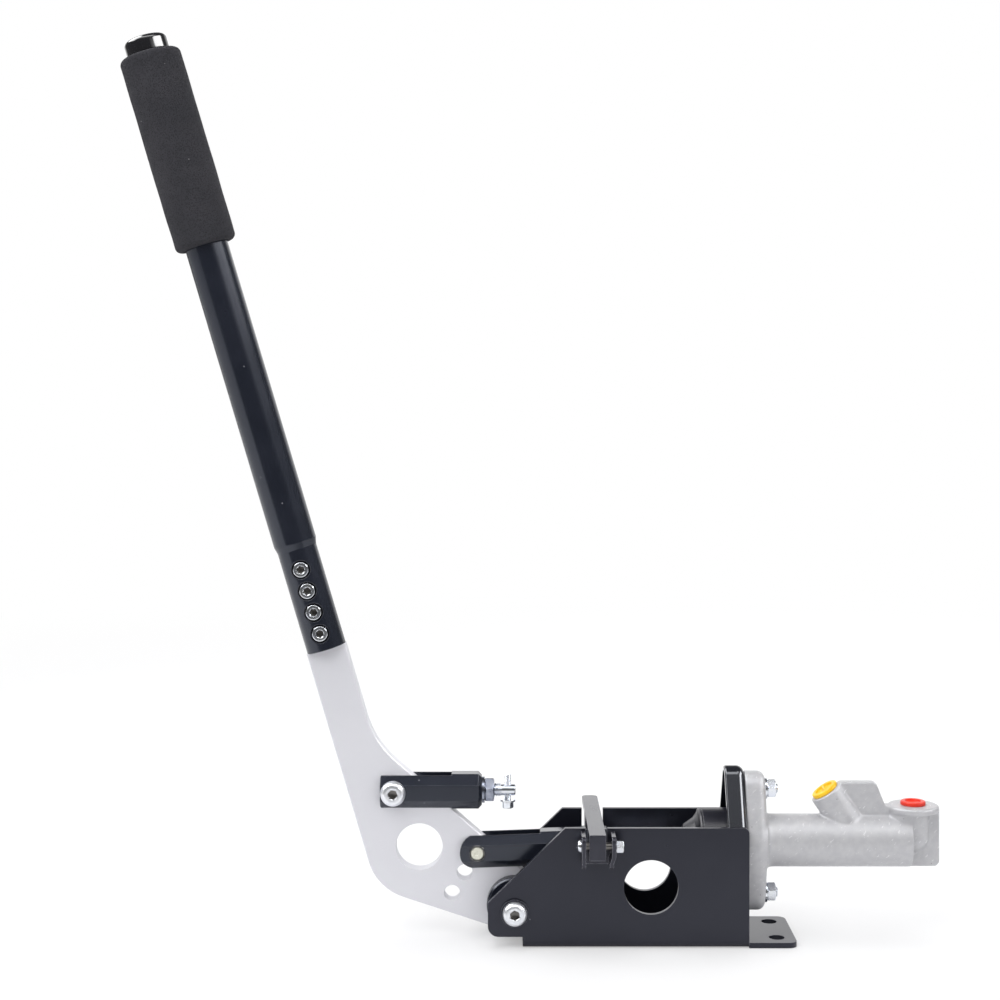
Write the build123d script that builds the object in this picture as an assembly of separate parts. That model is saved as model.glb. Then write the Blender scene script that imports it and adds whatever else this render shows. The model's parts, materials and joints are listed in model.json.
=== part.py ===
from build123d import *
import math
import os

# Parking brake lever of the tall hydraulic kind, in millimetres, +Z up.
# The origin is the centre of the four floor bolts, on the underside of the base.
# +X runs from the lever towards the master cylinder, and -Y is the side seen in front.
# The lever stands at rest. Pulling it turns it about +Y, top towards +X.

# Base channel, folded from one sheet
sheet = 3.0
base_width = 52.0
fold_inner_radius = 1.0
wall_height = 68.0
wall_rear_corner = 3.0
nose_reach = 15.3
nose_bottom = 6.4
nose_top = 25.5
nose_corner = 6.0
slope_run = 43.8
floor_lead = 4.5
floor_bolt_run = 129.0
floor_bolt_gauge = 31.0
floor_bolt_hole = 9.0
tab_margin = 10.5
tab_corner = 5.0
seat_setback = 17.0
window_setback = 55.7
window_height = 34.5
window_radius = 15.5

# Rear upright, a pressed arch between the walls that carries the cylinder
arch_height = 98.4
arch_depth = 11.6
arch_top_radius = 7.8
arch_shoulder_height = 65.0
arch_shoulder_radius = 5.0
arch_fold_radius = 4.6
arch_rim_round = 1.4
boot_hole_radius = 19.0
arch_foot_bevel = 1.2

# Lever pivot
pivot_setback = 133.0
pivot_height = 20.0
pivot_bolt_radius = 4.0
bolt_hole_play = 0.2
running_play = 0.05
thread_play = 0.03
side_play = 0.15
hub_radius = 16.0
hub_thickness = 7.0
hub_bevel = 1.0
bush_wall = 2.5
spacer_wall = 3.0

# Lever plate
plate_thickness = 10.0
plate_edge_bevel = 0.5
mast_tilt = 16.6
neck_width = 23.0
neck_fillet = 55.0
pivot_end_radius = 17.0
upper_edge_slope = 40.9
rim_radius = 30.6
lightening_dx = -55.0
lightening_dz = 32.3
lightening_radius = 13.5
rod_hole_dx = -21.5
rod_hole_dz = 29.5
rod_hole_radius = 4.6
rod_hole_pitch = 14.0
rod_hole_line_angle = 58.8
rod_hole_count = 3
cable_hole_dx = -70.0
cable_hole_dz = 64.2
foot_distance = 125.0
tongue_end_margin = 7.6
tongue_width = 16.0

# Mast, grip and cap
mast_radius = 12.5
mast_wall = 2.5
shoulder_start = 60.0
shoulder_length = 4.0
bore_start = 72.0
pocket_spare_depth = 1.0
mast_screw_first = 10.0
mast_screw_pitch = 12.8
mast_screw_count = 4
mast_screw_radius = 2.5
mast_screw_head_radius = 4.5
mast_screw_head_height = 4.2
mast_screw_seat_depth = 4.0
mast_screw_counterbore_play = 0.9
mast_screw_socket = 4.0
mast_screw_short = 1.5
grip_start = 243.0
grip_length = 116.0
grip_radius = 18.0
grip_edge_radius = 5.0
soft_gap = 0.3
cap_head_height = 9.5
cap_radius = 12.8
cap_edge_radius = 3.0
cap_plug_length = 15.0

# Clevises, cut from octagonal bar
bar_size = 20.0
bar_corner_cut = 5.5
clevis_end_bevel = 2.0
rod_clevis_length = 87.4
rod_clevis_slot = 46.7
rod_pin_radius = 4.0
rod_pin_ring = 0.5
rod_pin_head_radius = 6.0
rod_pin_head_height = 2.5
rod_thread_depth = 24.0
rod_radius = 4.0
rod_nut_height = 5.0
cable_clevis_tail = 7.5
cable_clevis_length = 58.6
cable_clevis_corner = 2.0
cable_stop_gap = 0.2
stud_radius = 4.0
stud_thread_depth = 18.0
stud_nut_height = 5.6
stud_washer_height = 1.6
stud_washer_radius = 7.5
stud_neck_radius = 3.2
stud_thread_length = 11.0
stud_length = 19.5
pinch_setback = 4.5
pinch_radius = 2.0
pinch_rise = 5.6
pinch_washer_radius = 4.5
pinch_washer_height = 1.2
pinch_washer_gap = 2.2
pinch_head_radius = 3.5
pinch_head_height = 3.8
pinch_socket = 3.0

# Fasteners
button_head_radius = 7.0
button_head_height = 4.4
button_socket = 5.0
pivot_washer_radius = 8.0
pivot_washer_height = 1.6
nut_size = 13.0
nut_height = 6.5
thread_tail = 3.0
head_round_share = 0.6
head_bevel_share = 0.12
socket_depth_share = 0.6
nut_corner_share = 0.565
nut_bevel_share = 0.06

# Latch bar and its bracket on the front wall
latch_setback = 86.7
latch_width = 9.3
latch_depth = 10.4
latch_gap = 1.6
notch_depth = 11.0
latch_hinge_out = 10.0
latch_hinge_rise = 3.4
latch_leg_drop = 7.4
latch_leg_half = 3.5
latch_relief_half = 13.0
latch_bridge = 1.8
latch_lug_out = 4.0
latch_tab_out = 34.0
latch_tab_thickness = 3.0
latch_tab_corner = 3.5
latch_bolt_radius = 2.0
latch_head_radius = 3.6
latch_head_height = 2.3
latch_socket = 2.5
latch_nut_size = 7.0
latch_nut_height = 4.6
bracket_sheet = 2.2
bracket_side_room = 2.0
bracket_lead = 6.0
bracket_drop = 11.9
bracket_rise = 6.1
bracket_corner = 3.0
bracket_base_gap = 0.5
ear_foot_rise = 3.4
ear_step = 1.4
ear_step_rise = 3.5

# Master cylinder casting
cylinder_height = 55.0
flange_thickness = 12.0
flange_bolt_spacing = 60.0
flange_ear_radius = 10.2
flange_waist_radius = 20.0
flange_edge_radius = 4.5
flange_bolt_radius = 3.0
flange_nut_size = 10.0
flange_nut_height = 5.2
flange_washer_height = 1.2
flange_washer_radius = 6.0
flange_bolt_tail = 1.0
flange_head_height = 4.0
casting_radius = 15.0
casting_length = 96.0
casting_root_radius = 3.5
spigot_radius = 16.4
spigot_length = 20.0
bore_radius = 9.55
bore_end = 91.0
inlet_angle = 56.2
inlet_seat_run = 47.65
inlet_seat_rise = 28.4
inlet_radius = 9.7
inlet_port_radius = 5.1
inlet_port_depth = 12.0
port_drill_radius = 1.8
rib_thickness = 6.5
rib_top_rise = 34.1
rib_crest_end = 76.3
rib_foot_end = 81.7
rib_corner = 3.0
outlet_run = 98.3
outlet_disc_radius = 14.8
outlet_disc_rise = 20.6
outlet_disc_thickness = 3.8
outlet_disc_edge = 1.2
column_radius = 9.4
column_end_rise = 3.0
column_neck_run = 5.2
web_foot_rise = 0.4
web_corner = 3.5
outlet_port_radius = 5.1
outlet_port_depth = 12.0

# Port plugs
inlet_plug_radius = 8.0
outlet_plug_radius = 7.2
plug_head_height = 2.3
plug_dimple_depth = 1.2
plug_rim = 2.6
plug_edge_radius = 0.8
plug_stub_length = 8.0
plug_play = 0.1

# Inside the cylinder
clip_recess_radius = 10.9
clip_recess_depth = 5.4
clip_groove_radius = 11.9
clip_setback = 1.6
clip_thickness = 1.2
clip_inner_radius = 8.4
clip_gap_angle = 40.0
stop_washer_radius = 10.7
stop_washer_height = 1.5
stop_washer_inner = 7.4
piston_length = 52.0
piston_neck_radius = 7.0
piston_cup_radius = 6.2
piston_cup_depth = 14.0
seal_height = 4.0
seal_setback = 6.0
rest_gap = 0.3
spring_wire_radius = 0.9
spring_radius = 6.8
spring_pitch = 12.0

# Rubber boot over the spigot
boot_wall = 1.8
boot_length = 36.0
boot_nose_length = 10.0
boot_mouth_radius = 5.8
boot_shoulder_radius = 2.0
boot_groove_setback = 2.4
boot_groove_depth = 0.7
boot_groove_width = 1.4

# Reach that tells one edge from its neighbours when they are picked
pick_reach = 0.1

# Places worked out from the sizes above
rear_bolt_x = floor_bolt_run / 2
seat_x = rear_bolt_x - seat_setback
tab_end_x = rear_bolt_x + tab_margin
half_outer = base_width / 2
half_inner = half_outer - sheet
pivot_x = seat_x - pivot_setback
nose_x = pivot_x - nose_reach
slope_top_x = nose_x + slope_run
floor_front_x = pivot_x + floor_lead
latch_x = seat_x - latch_setback
notch_half = latch_width / 2 + latch_gap
notch_floor = wall_height - notch_depth
latch_top = notch_floor + latch_depth
latch_hinge_y = -half_outer - latch_hinge_out
latch_hinge_height = notch_floor + latch_hinge_rise
bracket_half = latch_width / 2 + bracket_side_room
bracket_outer_half = bracket_half + bracket_sheet
ear_face = bracket_outer_half + ear_step
bracket_bottom = latch_hinge_height - bracket_drop
flange_front_x = seat_x + flange_thickness
spigot_mouth_x = seat_x - spigot_length
piston_back_x = spigot_mouth_x + clip_recess_depth + rest_gap
cup_floor_x = piston_back_x + piston_cup_depth
rod_tip_x = cup_floor_x - rest_gap
rod_ball_x = rod_tip_x - rod_radius
half_plate = plate_thickness / 2
half_slot = half_plate + side_play
half_bar = bar_size / 2
hub_face = half_plate + hub_thickness
bush_end = hub_face + side_play
spacer_start = bush_end + side_play
foot_radius = neck_width / 2
tongue_length = mast_screw_first + (mast_screw_count - 1) * mast_screw_pitch + tongue_end_margin
bore_radius_mast = mast_radius - mast_wall
bush_bore = pivot_bolt_radius + running_play
bush_outer = bush_bore + bush_wall


def turn(angle):
    """Unit direction (x, z) at an angle in degrees above +X."""
    return Vector(math.cos(math.radians(angle)), math.sin(math.radians(angle)))


def meet(first, first_dir, second, second_dir):
    """Point where two lines in the side view cross."""
    between = second - first
    cross = first_dir.X * second_dir.Y - first_dir.Y * second_dir.X
    reach = (between.X * second_dir.Y - between.Y * second_dir.X) / cross
    return first + first_dir * reach


# Points of the lever in the side view, as (x, z)
across = turn(mast_tilt)
along = turn(mast_tilt + 90)
pivot = Vector(pivot_x, pivot_height)
lightening = pivot + Vector(lightening_dx, lightening_dz)
cable_hole = pivot + Vector(cable_hole_dx, cable_hole_dz)
rod_hole = pivot + Vector(rod_hole_dx, rod_hole_dz)
rod_holes = [rod_hole - turn(rod_hole_line_angle) * rod_hole_pitch * i for i in range(rod_hole_count)]
foot = lightening - across * (rim_radius - foot_radius) + along * foot_distance
rod_angle = math.degrees(math.atan2(cylinder_height - rod_hole.Y, rod_ball_x - rod_hole.X))
rod_span = math.hypot(cylinder_height - rod_hole.Y, rod_ball_x - rod_hole.X)

mast_plane = Plane(
    origin=(foot.X, 0, foot.Y),
    x_dir=(across.X, 0, across.Y),
    z_dir=(along.X, 0, along.Y),
)
rod_plane = Plane(
    origin=(rod_hole.X, 0, rod_hole.Y),
    x_dir=(turn(rod_angle).X, 0, turn(rod_angle).Y),
    z_dir=(turn(rod_angle + 90).X, 0, turn(rod_angle + 90).Y),
)
cable_plane = Plane(origin=(cable_hole.X, 0, cable_hole.Y))
cylinder_plane = Plane(origin=(seat_x, 0, cylinder_height), x_dir=(0, 1, 0), z_dir=(1, 0, 0))


def slab(profile, y_low, y_high):
    """Side-view profile made solid between two Y values."""
    return extrude(Plane.XZ.offset(-y_high) * profile, amount=y_high - y_low, dir=(0, -1, 0))


def slice_x(profile, x_low, x_high):
    """End-view profile (y, z) made solid between two X values."""
    return extrude(Plane.YZ.offset(x_low) * profile, amount=x_high - x_low, dir=(1, 0, 0))


def rod_y(point, radius, y_low, y_high):
    """Round bar along Y through a point of the side view."""
    return slab(Pos(point.X, point.Y) * Circle(radius), y_low, y_high)


def rod_x(y, z, radius, x_low, x_high):
    """Round bar along X."""
    return slice_x(Pos(y, z) * Circle(radius), x_low, x_high)


def block(x_low, x_high, y_low, y_high, z_low, z_high):
    """Plain block between six planes."""
    size = (x_high - x_low, y_high - y_low, z_high - z_low)
    middle = ((x_low + x_high) / 2, (y_low + y_high) / 2, (z_low + z_high) / 2)
    return Pos(*middle) * Box(*size)


def tube(outer, inner, z_low, z_high):
    """Ring or sleeve about the local Z axis."""
    ring = Circle(outer) - Circle(inner)
    return extrude(Plane.XY.offset(z_low) * ring, amount=z_high - z_low)


def disc(radius, z_low, z_high):
    """Disc or bar about the local Z axis."""
    return extrude(Plane.XY.offset(z_low) * Circle(radius), amount=z_high - z_low)


def hex_bar(size, z_low, z_high):
    """Hexagonal bar about the local Z axis, size across flats."""
    outline = RegularPolygon(size / 2, 6, major_radius=False)
    return extrude(Plane.XY.offset(z_low) * outline, amount=z_high - z_low)


def button_screw(radius, length, head_radius, head_height, socket):
    """Button-head screw, head up from local z 0 and shank below it."""
    head = disc(head_radius, 0, head_height)
    head = fillet(head.edges().group_by(Axis.Z)[-1], head_height * head_round_share)
    head -= hex_bar(socket, head_height * (1 - socket_depth_share), head_height)
    return head + disc(radius, -length, 0)


def cap_screw(radius, length, head_radius, head_height, socket):
    """Socket cap screw, head up from local z 0 and shank below it."""
    head = disc(head_radius, 0, head_height)
    head = chamfer(head.edges().group_by(Axis.Z)[-1], head_height * head_bevel_share)
    head -= hex_bar(socket, head_height * (1 - socket_depth_share), head_height)
    return head + disc(radius, -length, 0)


def hex_bolt(radius, length, size, head_height):
    """Hexagon bolt, head up from local z 0 and shank below it."""
    return hex_bar(size, 0, head_height) + disc(radius, -length, 0)


def nut(size, height, radius):
    """Hexagon nut up from local z 0, with rounded corners on its outer face."""
    body = hex_bar(size, 0, height)
    cone = Pos(0, 0, height / 2) * Cylinder(size * nut_corner_share, height)
    cone = chamfer(cone.edges().group_by(Axis.Z)[-1], size * nut_bevel_share)
    return (body & cone) - disc(radius + thread_play, 0, height)


def facing(x, y, z, direction):
    """Place a turned part at a point with its local Z along a direction."""
    return Plane(origin=(x, y, z), z_dir=direction).location


def wall_profile():
    """Side view of the base walls with nose, slope and rear corner."""
    outline = Polygon(
        (nose_x, nose_bottom),
        (floor_front_x, nose_bottom),
        (floor_front_x, 0),
        (seat_x, 0),
        (seat_x, wall_height),
        (slope_top_x, wall_height),
        (nose_x, nose_top),
        align=None,
    )
    low_corner = outline.vertices().sort_by_distance((nose_x, nose_bottom, 0))[0]
    outline = fillet(low_corner, nose_corner)
    rear_corner = outline.vertices().sort_by_distance((seat_x, wall_height, 0))[0]
    return fillet(rear_corner, wall_rear_corner)


def channel_section():
    """End view of the folded channel, drawn as far up as the walls reach."""
    outer = Pos(0, wall_height / 2) * Rectangle(base_width, wall_height)
    outer = fillet(outer.vertices().group_by(Axis.Y)[0], fold_inner_radius + sheet)
    room = Pos(0, sheet + wall_height / 2) * Rectangle(2 * half_inner, wall_height)
    room = fillet(room.vertices().group_by(Axis.Y)[0], fold_inner_radius)
    return outer - room


def base_channel():
    """Folded base: floor, two walls, rear tab, windows, notches and bolt holes."""
    shell = slice_x(channel_section(), nose_x, seat_x)
    shell &= slab(wall_profile(), -half_outer, half_outer)
    tab = block(seat_x, tab_end_x, -half_outer, half_outer, 0, sheet)
    tab_edges = tab.edges().filter_by(Axis.Z).group_by(Axis.X)[-1]
    shell += fillet(tab_edges, tab_corner)
    window = Vector(seat_x - window_setback, window_height)
    shell -= rod_y(window, window_radius, -half_outer, half_outer)
    shell -= rod_y(pivot, pivot_bolt_radius + bolt_hole_play, -half_outer, half_outer)
    shell -= block(
        latch_x - notch_half,
        latch_x + notch_half,
        -half_outer,
        half_outer,
        notch_floor,
        wall_height,
    )
    for x in (-rear_bolt_x, rear_bolt_x):
        for y in (-floor_bolt_gauge / 2, floor_bolt_gauge / 2):
            shell -= Pos(x, y, 0) * disc(floor_bolt_hole / 2, 0, sheet)
    return shell


def arch_profile(shrink):
    """End view of the rear upright, shrunk on every side but its foot."""
    legs = Rectangle(2 * (half_inner - shrink), arch_shoulder_height - sheet)
    edges = (Pos(0, (sheet + arch_shoulder_height) / 2) * legs).edges()
    edges += (Pos(0, arch_height - arch_top_radius) * Circle(arch_top_radius - shrink)).edges()
    for side in (-1, 1):
        shoulder = Pos(side * (half_inner - arch_shoulder_radius), arch_shoulder_height)
        edges += (shoulder * Circle(arch_shoulder_radius - shrink)).edges()
    return make_hull(edges)


def above_floor(edges):
    """Edges that don't lie on the channel's floor."""
    return edges.filter_by(lambda e: e.center().Z > sheet + pick_reach)


def rear_upright():
    """Pressed arch with a rim towards the lever, standing on the floor."""
    front_x = seat_x - arch_depth
    body = slice_x(arch_profile(0), front_x, seat_x)
    outer_edges = above_floor(body.edges().group_by(Axis.X)[-1])
    body = fillet(outer_edges, arch_fold_radius)
    rim_edges = above_floor(body.edges().group_by(Axis.X)[0])
    body = fillet(rim_edges, arch_rim_round)
    foot_edges = body.edges().filter_by(Axis.X).group_by(Axis.Z)[0]
    body = chamfer(foot_edges, arch_foot_bevel)
    room = slice_x(arch_profile(sheet), front_x, seat_x - sheet)
    room_edges = above_floor(room.edges().group_by(Axis.X)[-1])
    body -= fillet(room_edges, arch_fold_radius - sheet)
    body -= rod_x(0, cylinder_height, boot_hole_radius, front_x, seat_x)
    for side in (-1, 1):
        z = cylinder_height + side * flange_bolt_spacing / 2
        body -= rod_x(0, z, flange_bolt_radius + bolt_hole_play, front_x, seat_x)
    return body


def stepped_ear():
    """Bracket ear beside the latch nut, in (x, z), set outward above its foot."""
    ear_top = latch_hinge_height + bracket_rise
    foot_top = bracket_bottom + ear_foot_rise
    step_top = foot_top + ear_step_rise
    return Pos(latch_x, 0) * Polygon(
        (bracket_half, bracket_bottom),
        (bracket_outer_half, bracket_bottom),
        (bracket_outer_half, foot_top),
        (ear_face, step_top),
        (ear_face, ear_top),
        (ear_face - bracket_sheet, ear_top),
        (ear_face - bracket_sheet, step_top),
        (bracket_half, foot_top),
        align=None,
    )


def straight_ear():
    """Bracket ear beside the latch bolt's head, in (x, z)."""
    ear_top = latch_hinge_height + bracket_rise
    middle = (bracket_half + bracket_outer_half) / 2
    centre = Pos(latch_x - middle, (bracket_bottom + ear_top) / 2)
    return centre * Rectangle(bracket_sheet, ear_top - bracket_bottom)


def latch_bracket():
    """Channel bracket on the front wall that carries the latch hinge."""
    body = block(
        latch_x - bracket_outer_half,
        latch_x + bracket_outer_half,
        -half_outer - bracket_sheet,
        -half_outer,
        bracket_bottom,
        notch_floor - bracket_base_gap,
    )
    for ear_profile in (straight_ear(), stepped_ear()):
        ear = slab(ear_profile, latch_hinge_y - bracket_lead, -half_outer)
        corners = ear.edges().filter_by(Axis.X).group_by(Axis.Y)[0]
        body += fillet(corners, bracket_corner)
    body -= rod_x(
        latch_hinge_y,
        latch_hinge_height,
        latch_bolt_radius + running_play,
        latch_x - bracket_outer_half,
        latch_x + ear_face,
    )
    return body


def latch_bolt():
    """Hinge bolt of the latch, head towards the lever."""
    length = bracket_outer_half + ear_face + latch_nut_height + flange_bolt_tail
    screw = button_screw(
        latch_bolt_radius,
        length,
        latch_head_radius,
        latch_head_height,
        latch_socket,
    )
    place = facing(
        latch_x - bracket_outer_half,
        latch_hinge_y,
        latch_hinge_height,
        (-1, 0, 0),
    )
    return place * screw


def latch_nut():
    """Nut on the latch hinge bolt."""
    place = facing(latch_x + ear_face, latch_hinge_y, latch_hinge_height, (1, 0, 0))
    return place * nut(latch_nut_size, latch_nut_height, latch_bolt_radius)


def latch_bar():
    """Drop bar across both wall notches, arched over the rod clevis."""
    near = latch_hinge_y - latch_leg_half
    leg_inner = latch_hinge_y + latch_leg_half
    leg_bottom = latch_hinge_height - latch_leg_drop
    relief_top = latch_top - latch_bridge
    lug = half_outer + latch_lug_out
    far = half_outer + latch_tab_out
    tab_bottom = latch_top - latch_tab_thickness
    outline = Polygon(
        (near, leg_bottom),
        (leg_inner, leg_bottom),
        (leg_inner, notch_floor),
        (-latch_relief_half, notch_floor),
        (-latch_relief_half, relief_top),
        (latch_relief_half, relief_top),
        (latch_relief_half, notch_floor),
        (lug, notch_floor),
        (lug, tab_bottom),
        (far, tab_bottom),
        (far, latch_top),
        (near, latch_top),
        align=None,
    )
    body = slice_x(outline, latch_x - latch_width / 2, latch_x + latch_width / 2)
    tab_corners = body.edges().filter_by(Axis.Z).group_by(Axis.Y)[-1]
    body = fillet(tab_corners, latch_tab_corner)
    body -= rod_x(
        latch_hinge_y,
        latch_hinge_height,
        latch_bolt_radius + running_play,
        latch_x - latch_width / 2,
        latch_x + latch_width / 2,
    )
    return body


def pivot_bolt():
    """Button-head bolt through both walls, head in front."""
    length = base_width + 2 * pivot_washer_height + nut_height + thread_tail
    screw = button_screw(
        pivot_bolt_radius,
        length,
        button_head_radius,
        button_head_height,
        button_socket,
    )
    return facing(pivot.X, -half_outer - pivot_washer_height, pivot.Y, (0, -1, 0)) * screw


def pivot_nut():
    """Nut on the far end of the pivot bolt."""
    place = facing(pivot.X, half_outer + pivot_washer_height, pivot.Y, (0, 1, 0))
    return place * nut(nut_size, nut_height, pivot_bolt_radius)


def pivot_washers():
    """Washers under the pivot bolt's head and nut."""
    ring = Circle(pivot_washer_radius) - Circle(pivot_bolt_radius + bolt_hole_play)
    ring = Pos(pivot.X, pivot.Y) * ring
    near = slab(ring, -half_outer - pivot_washer_height, -half_outer)
    far = slab(ring, half_outer, half_outer + pivot_washer_height)
    return Compound(children=[near, far])


def pivot_spacers():
    """Sleeves that keep the lever in the middle of the channel."""
    outer = pivot_bolt_radius + bolt_hole_play + spacer_wall
    ring = Circle(outer) - Circle(pivot_bolt_radius + bolt_hole_play)
    ring = Pos(pivot.X, pivot.Y) * ring
    near = slab(ring, -half_inner, -spacer_start)
    far = slab(ring, spacer_start, half_inner)
    return Compound(children=[near, far])


def plate_outline():
    """Side view of the lever plate below the mast foot."""
    left_start = foot - across * foot_radius
    right_start = foot + across * foot_radius
    slope_dir = turn(-upper_edge_slope)
    slope_point = pivot + turn(90 - upper_edge_slope) * pivot_end_radius
    to_pivot = pivot - lightening
    centre_angle = math.degrees(math.atan2(to_pivot.Y, to_pivot.X))
    lean = math.degrees(math.asin((rim_radius - pivot_end_radius) / to_pivot.length))
    lower_dir = turn(centre_angle + lean)
    lower_point = pivot + turn(centre_angle + lean - 90) * pivot_end_radius
    neck_corner = meet(right_start, along, slope_point, slope_dir)
    pivot_corner = meet(slope_point, slope_dir, lower_point, lower_dir)
    rim_corner = meet(left_start, along, lower_point, lower_dir)
    points = (left_start, right_start, neck_corner, pivot_corner, rim_corner)
    outline = Polygon(*[(p.X, p.Y) for p in points], align=None)
    rounds = (
        (neck_corner, neck_fillet),
        (pivot_corner, pivot_end_radius),
        (rim_corner, rim_radius),
    )
    for corner, radius in rounds:
        vertex = outline.vertices().sort_by_distance((corner.X, corner.Y, 0))[0]
        outline = fillet(vertex, radius)
    return outline


def lever_plate():
    """Silver lever plate with its tongue, lightening hole and rod holes."""
    plate = slab(plate_outline(), -half_plate, half_plate)
    rims = plate.edges().filter_by(lambda e: abs(e.center().Y) > half_plate - pick_reach)
    rims = rims.filter_by(lambda e: mast_plane.to_local_coords(e.center()).Z < -pick_reach)
    plate = chamfer(rims, plate_edge_bevel)
    tongue = Box(
        tongue_width,
        plate_thickness,
        tongue_length,
        align=(Align.CENTER, Align.CENTER, Align.MIN),
    )
    plate += mast_plane.location * tongue
    plate -= rod_y(pivot, bush_outer + thread_play, -half_plate, half_plate)
    plate -= rod_y(lightening, lightening_radius, -half_plate, half_plate)
    for hole in rod_holes:
        plate -= rod_y(hole, rod_hole_radius, -half_plate, half_plate)
    plate -= rod_y(cable_hole, pivot_bolt_radius + running_play, -half_plate, half_plate)
    for i in range(mast_screw_count):
        place = mast_screw_place(i)
        plate -= place * disc(mast_screw_radius + thread_play, -mast_radius * 2, mast_radius)
    return plate


def mast_screw_place(index):
    """Seat of one mast screw: local Z points out of the front of the foot."""
    reach = mast_screw_first + index * mast_screw_pitch
    point = foot + along * reach
    return facing(point.X, mast_screw_seat_depth - foot_radius, point.Y, (0, -1, 0))


def hub_disc(side):
    """Black disc on one side of the lever plate, around the pivot."""
    ring = Pos(pivot.X, pivot.Y) * (Circle(hub_radius) - Circle(bush_outer + thread_play))
    y_pair = sorted((side * half_plate, side * hub_face))
    body = slab(ring, y_pair[0], y_pair[1])
    rim = body.edges().filter_by(GeomType.CIRCLE).sort_by(lambda e: side * e.center().Y)[-2:]
    return chamfer(rim.sort_by(lambda e: e.radius)[-1], hub_bevel)


def pivot_bush():
    """Bronze bush that turns on the pivot bolt."""
    ring = Pos(pivot.X, pivot.Y) * (Circle(bush_outer) - Circle(bush_bore))
    return slab(ring, -bush_end, bush_end)


def rod_pin_bush():
    """Bronze bush in the rod hole in use."""
    ring = Circle(rod_hole_radius - thread_play) - Circle(rod_pin_radius + running_play)
    return slab(Pos(rod_hole.X, rod_hole.Y) * ring, -half_plate, half_plate)


def mast():
    """Mast tube with a pocket in its foot, a shoulder and an open upper bore."""
    tube_end = grip_start + grip_length + soft_gap
    shoulder_end = shoulder_start + shoulder_length
    half_profile = Polygon(
        (0, 0),
        (foot_radius, 0),
        (foot_radius, shoulder_start),
        (mast_radius, shoulder_end),
        (mast_radius, tube_end),
        (bore_radius_mast, tube_end),
        (bore_radius_mast, bore_start),
        (0, bore_start - bore_radius_mast / 2),
        align=None,
    )
    body = revolve(Plane.XZ * half_profile, Axis.Z)
    body -= Box(
        tongue_width + 2 * side_play,
        plate_thickness,
        tongue_length + pocket_spare_depth,
        align=(Align.CENTER, Align.CENTER, Align.MIN),
    )
    body = mast_plane.location * body
    for i in range(mast_screw_count):
        place = mast_screw_place(i)
        counterbore = mast_screw_head_radius + mast_screw_counterbore_play
        body -= place * disc(counterbore, 0, mast_radius)
        body -= place * disc(mast_screw_radius + thread_play, -mast_radius * 2, 0)
    return body


def mast_screws():
    """Four cap screws that clamp the mast foot on the plate's tongue."""
    length = 2 * foot_radius - mast_screw_seat_depth - mast_screw_short
    screws = []
    for i in range(mast_screw_count):
        screw = cap_screw(
            mast_screw_radius,
            length,
            mast_screw_head_radius,
            mast_screw_head_height,
            mast_screw_socket,
        )
        screws.append(mast_screw_place(i) * screw)
    return Compound(children=screws)


def foam_grip():
    """Foam sleeve, pushed over the mast."""
    grip = tube(grip_radius, mast_radius + soft_gap, grip_start, grip_start + grip_length)
    rims = grip.edges().filter_by(GeomType.CIRCLE).sort_by(lambda e: e.radius)[-2:]
    return mast_plane.location * fillet(rims, grip_edge_radius)


def end_cap():
    """Glossy cap plugged into the mast's top."""
    base = grip_start + grip_length + soft_gap
    head = disc(cap_radius, base, base + cap_head_height)
    head = fillet(head.edges().group_by(Axis.Z)[-1], cap_edge_radius)
    plug = tube(bore_radius_mast - thread_play, bore_radius_mast - mast_wall, base - cap_plug_length, base)
    return mast_plane.location * (head + plug)


def octagon():
    """Square bar section with its corners cut off."""
    return chamfer(Rectangle(bar_size, bar_size).vertices(), bar_corner_cut)


def octagon_bar(x_low, x_high):
    """Octagonal bar along local X, bevelled at its far end."""
    bar = extrude(Plane.YZ.offset(x_low) * octagon(), amount=x_high - x_low)
    return chamfer(bar.edges().group_by(Axis.X)[-1], clevis_end_bevel)


def push_rod_clevis():
    """Clevis on the rod's front end, round at the pin and slotted for the plate."""
    tip = rod_clevis_length - half_bar
    body = octagon_bar(-half_bar, tip)
    round_end = Circle(half_bar) + Pos(tip / 2, 0) * Rectangle(tip, bar_size)
    body &= slab(round_end, -half_bar, half_bar)
    body -= block(-half_bar, rod_clevis_slot - half_bar, -half_slot, half_slot, -half_bar, half_bar)
    origin = Vector(0, 0)
    body -= rod_y(origin, rod_pin_radius + rod_pin_ring, -half_bar, -half_slot)
    body -= rod_y(origin, rod_pin_radius + thread_play, half_slot, half_bar)
    body -= rod_x(0, 0, rod_radius + thread_play, tip - rod_thread_depth, tip)
    return rod_plane.location * body


def rod_pin():
    """Headed clevis pin, flush in front and headed behind."""
    origin = Vector(0, 0)
    body = rod_y(origin, rod_pin_radius, -half_bar, half_bar)
    body += rod_y(origin, rod_pin_head_radius, half_bar, half_bar + rod_pin_head_height)
    return rod_plane.location * body


def push_rod():
    """Threaded rod with a round tip in the piston's cup."""
    start = rod_clevis_length - half_bar - rod_thread_depth
    shaft = rod_x(0, 0, rod_radius, start, rod_span)
    shaft += Pos(rod_span, 0, 0) * Sphere(rod_radius)
    return rod_plane.location * shaft


def rod_jam_nut():
    """Nut that locks the rod in its clevis."""
    tip = rod_clevis_length - half_bar
    place = facing(tip, 0, 0, (1, 0, 0))
    return rod_plane.location * place * nut(nut_size, rod_nut_height, rod_radius)


def cable_slot_end():
    """Depth of the cable clevis slot, which rests on the plate's upper edge."""
    slope_point = pivot + turn(90 - upper_edge_slope) * pivot_end_radius
    floor_point = cable_hole - Vector(0, half_bar)
    contact = meet(slope_point, turn(-upper_edge_slope), floor_point, Vector(1, 0))
    return contact.X - cable_hole.X + cable_stop_gap


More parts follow.
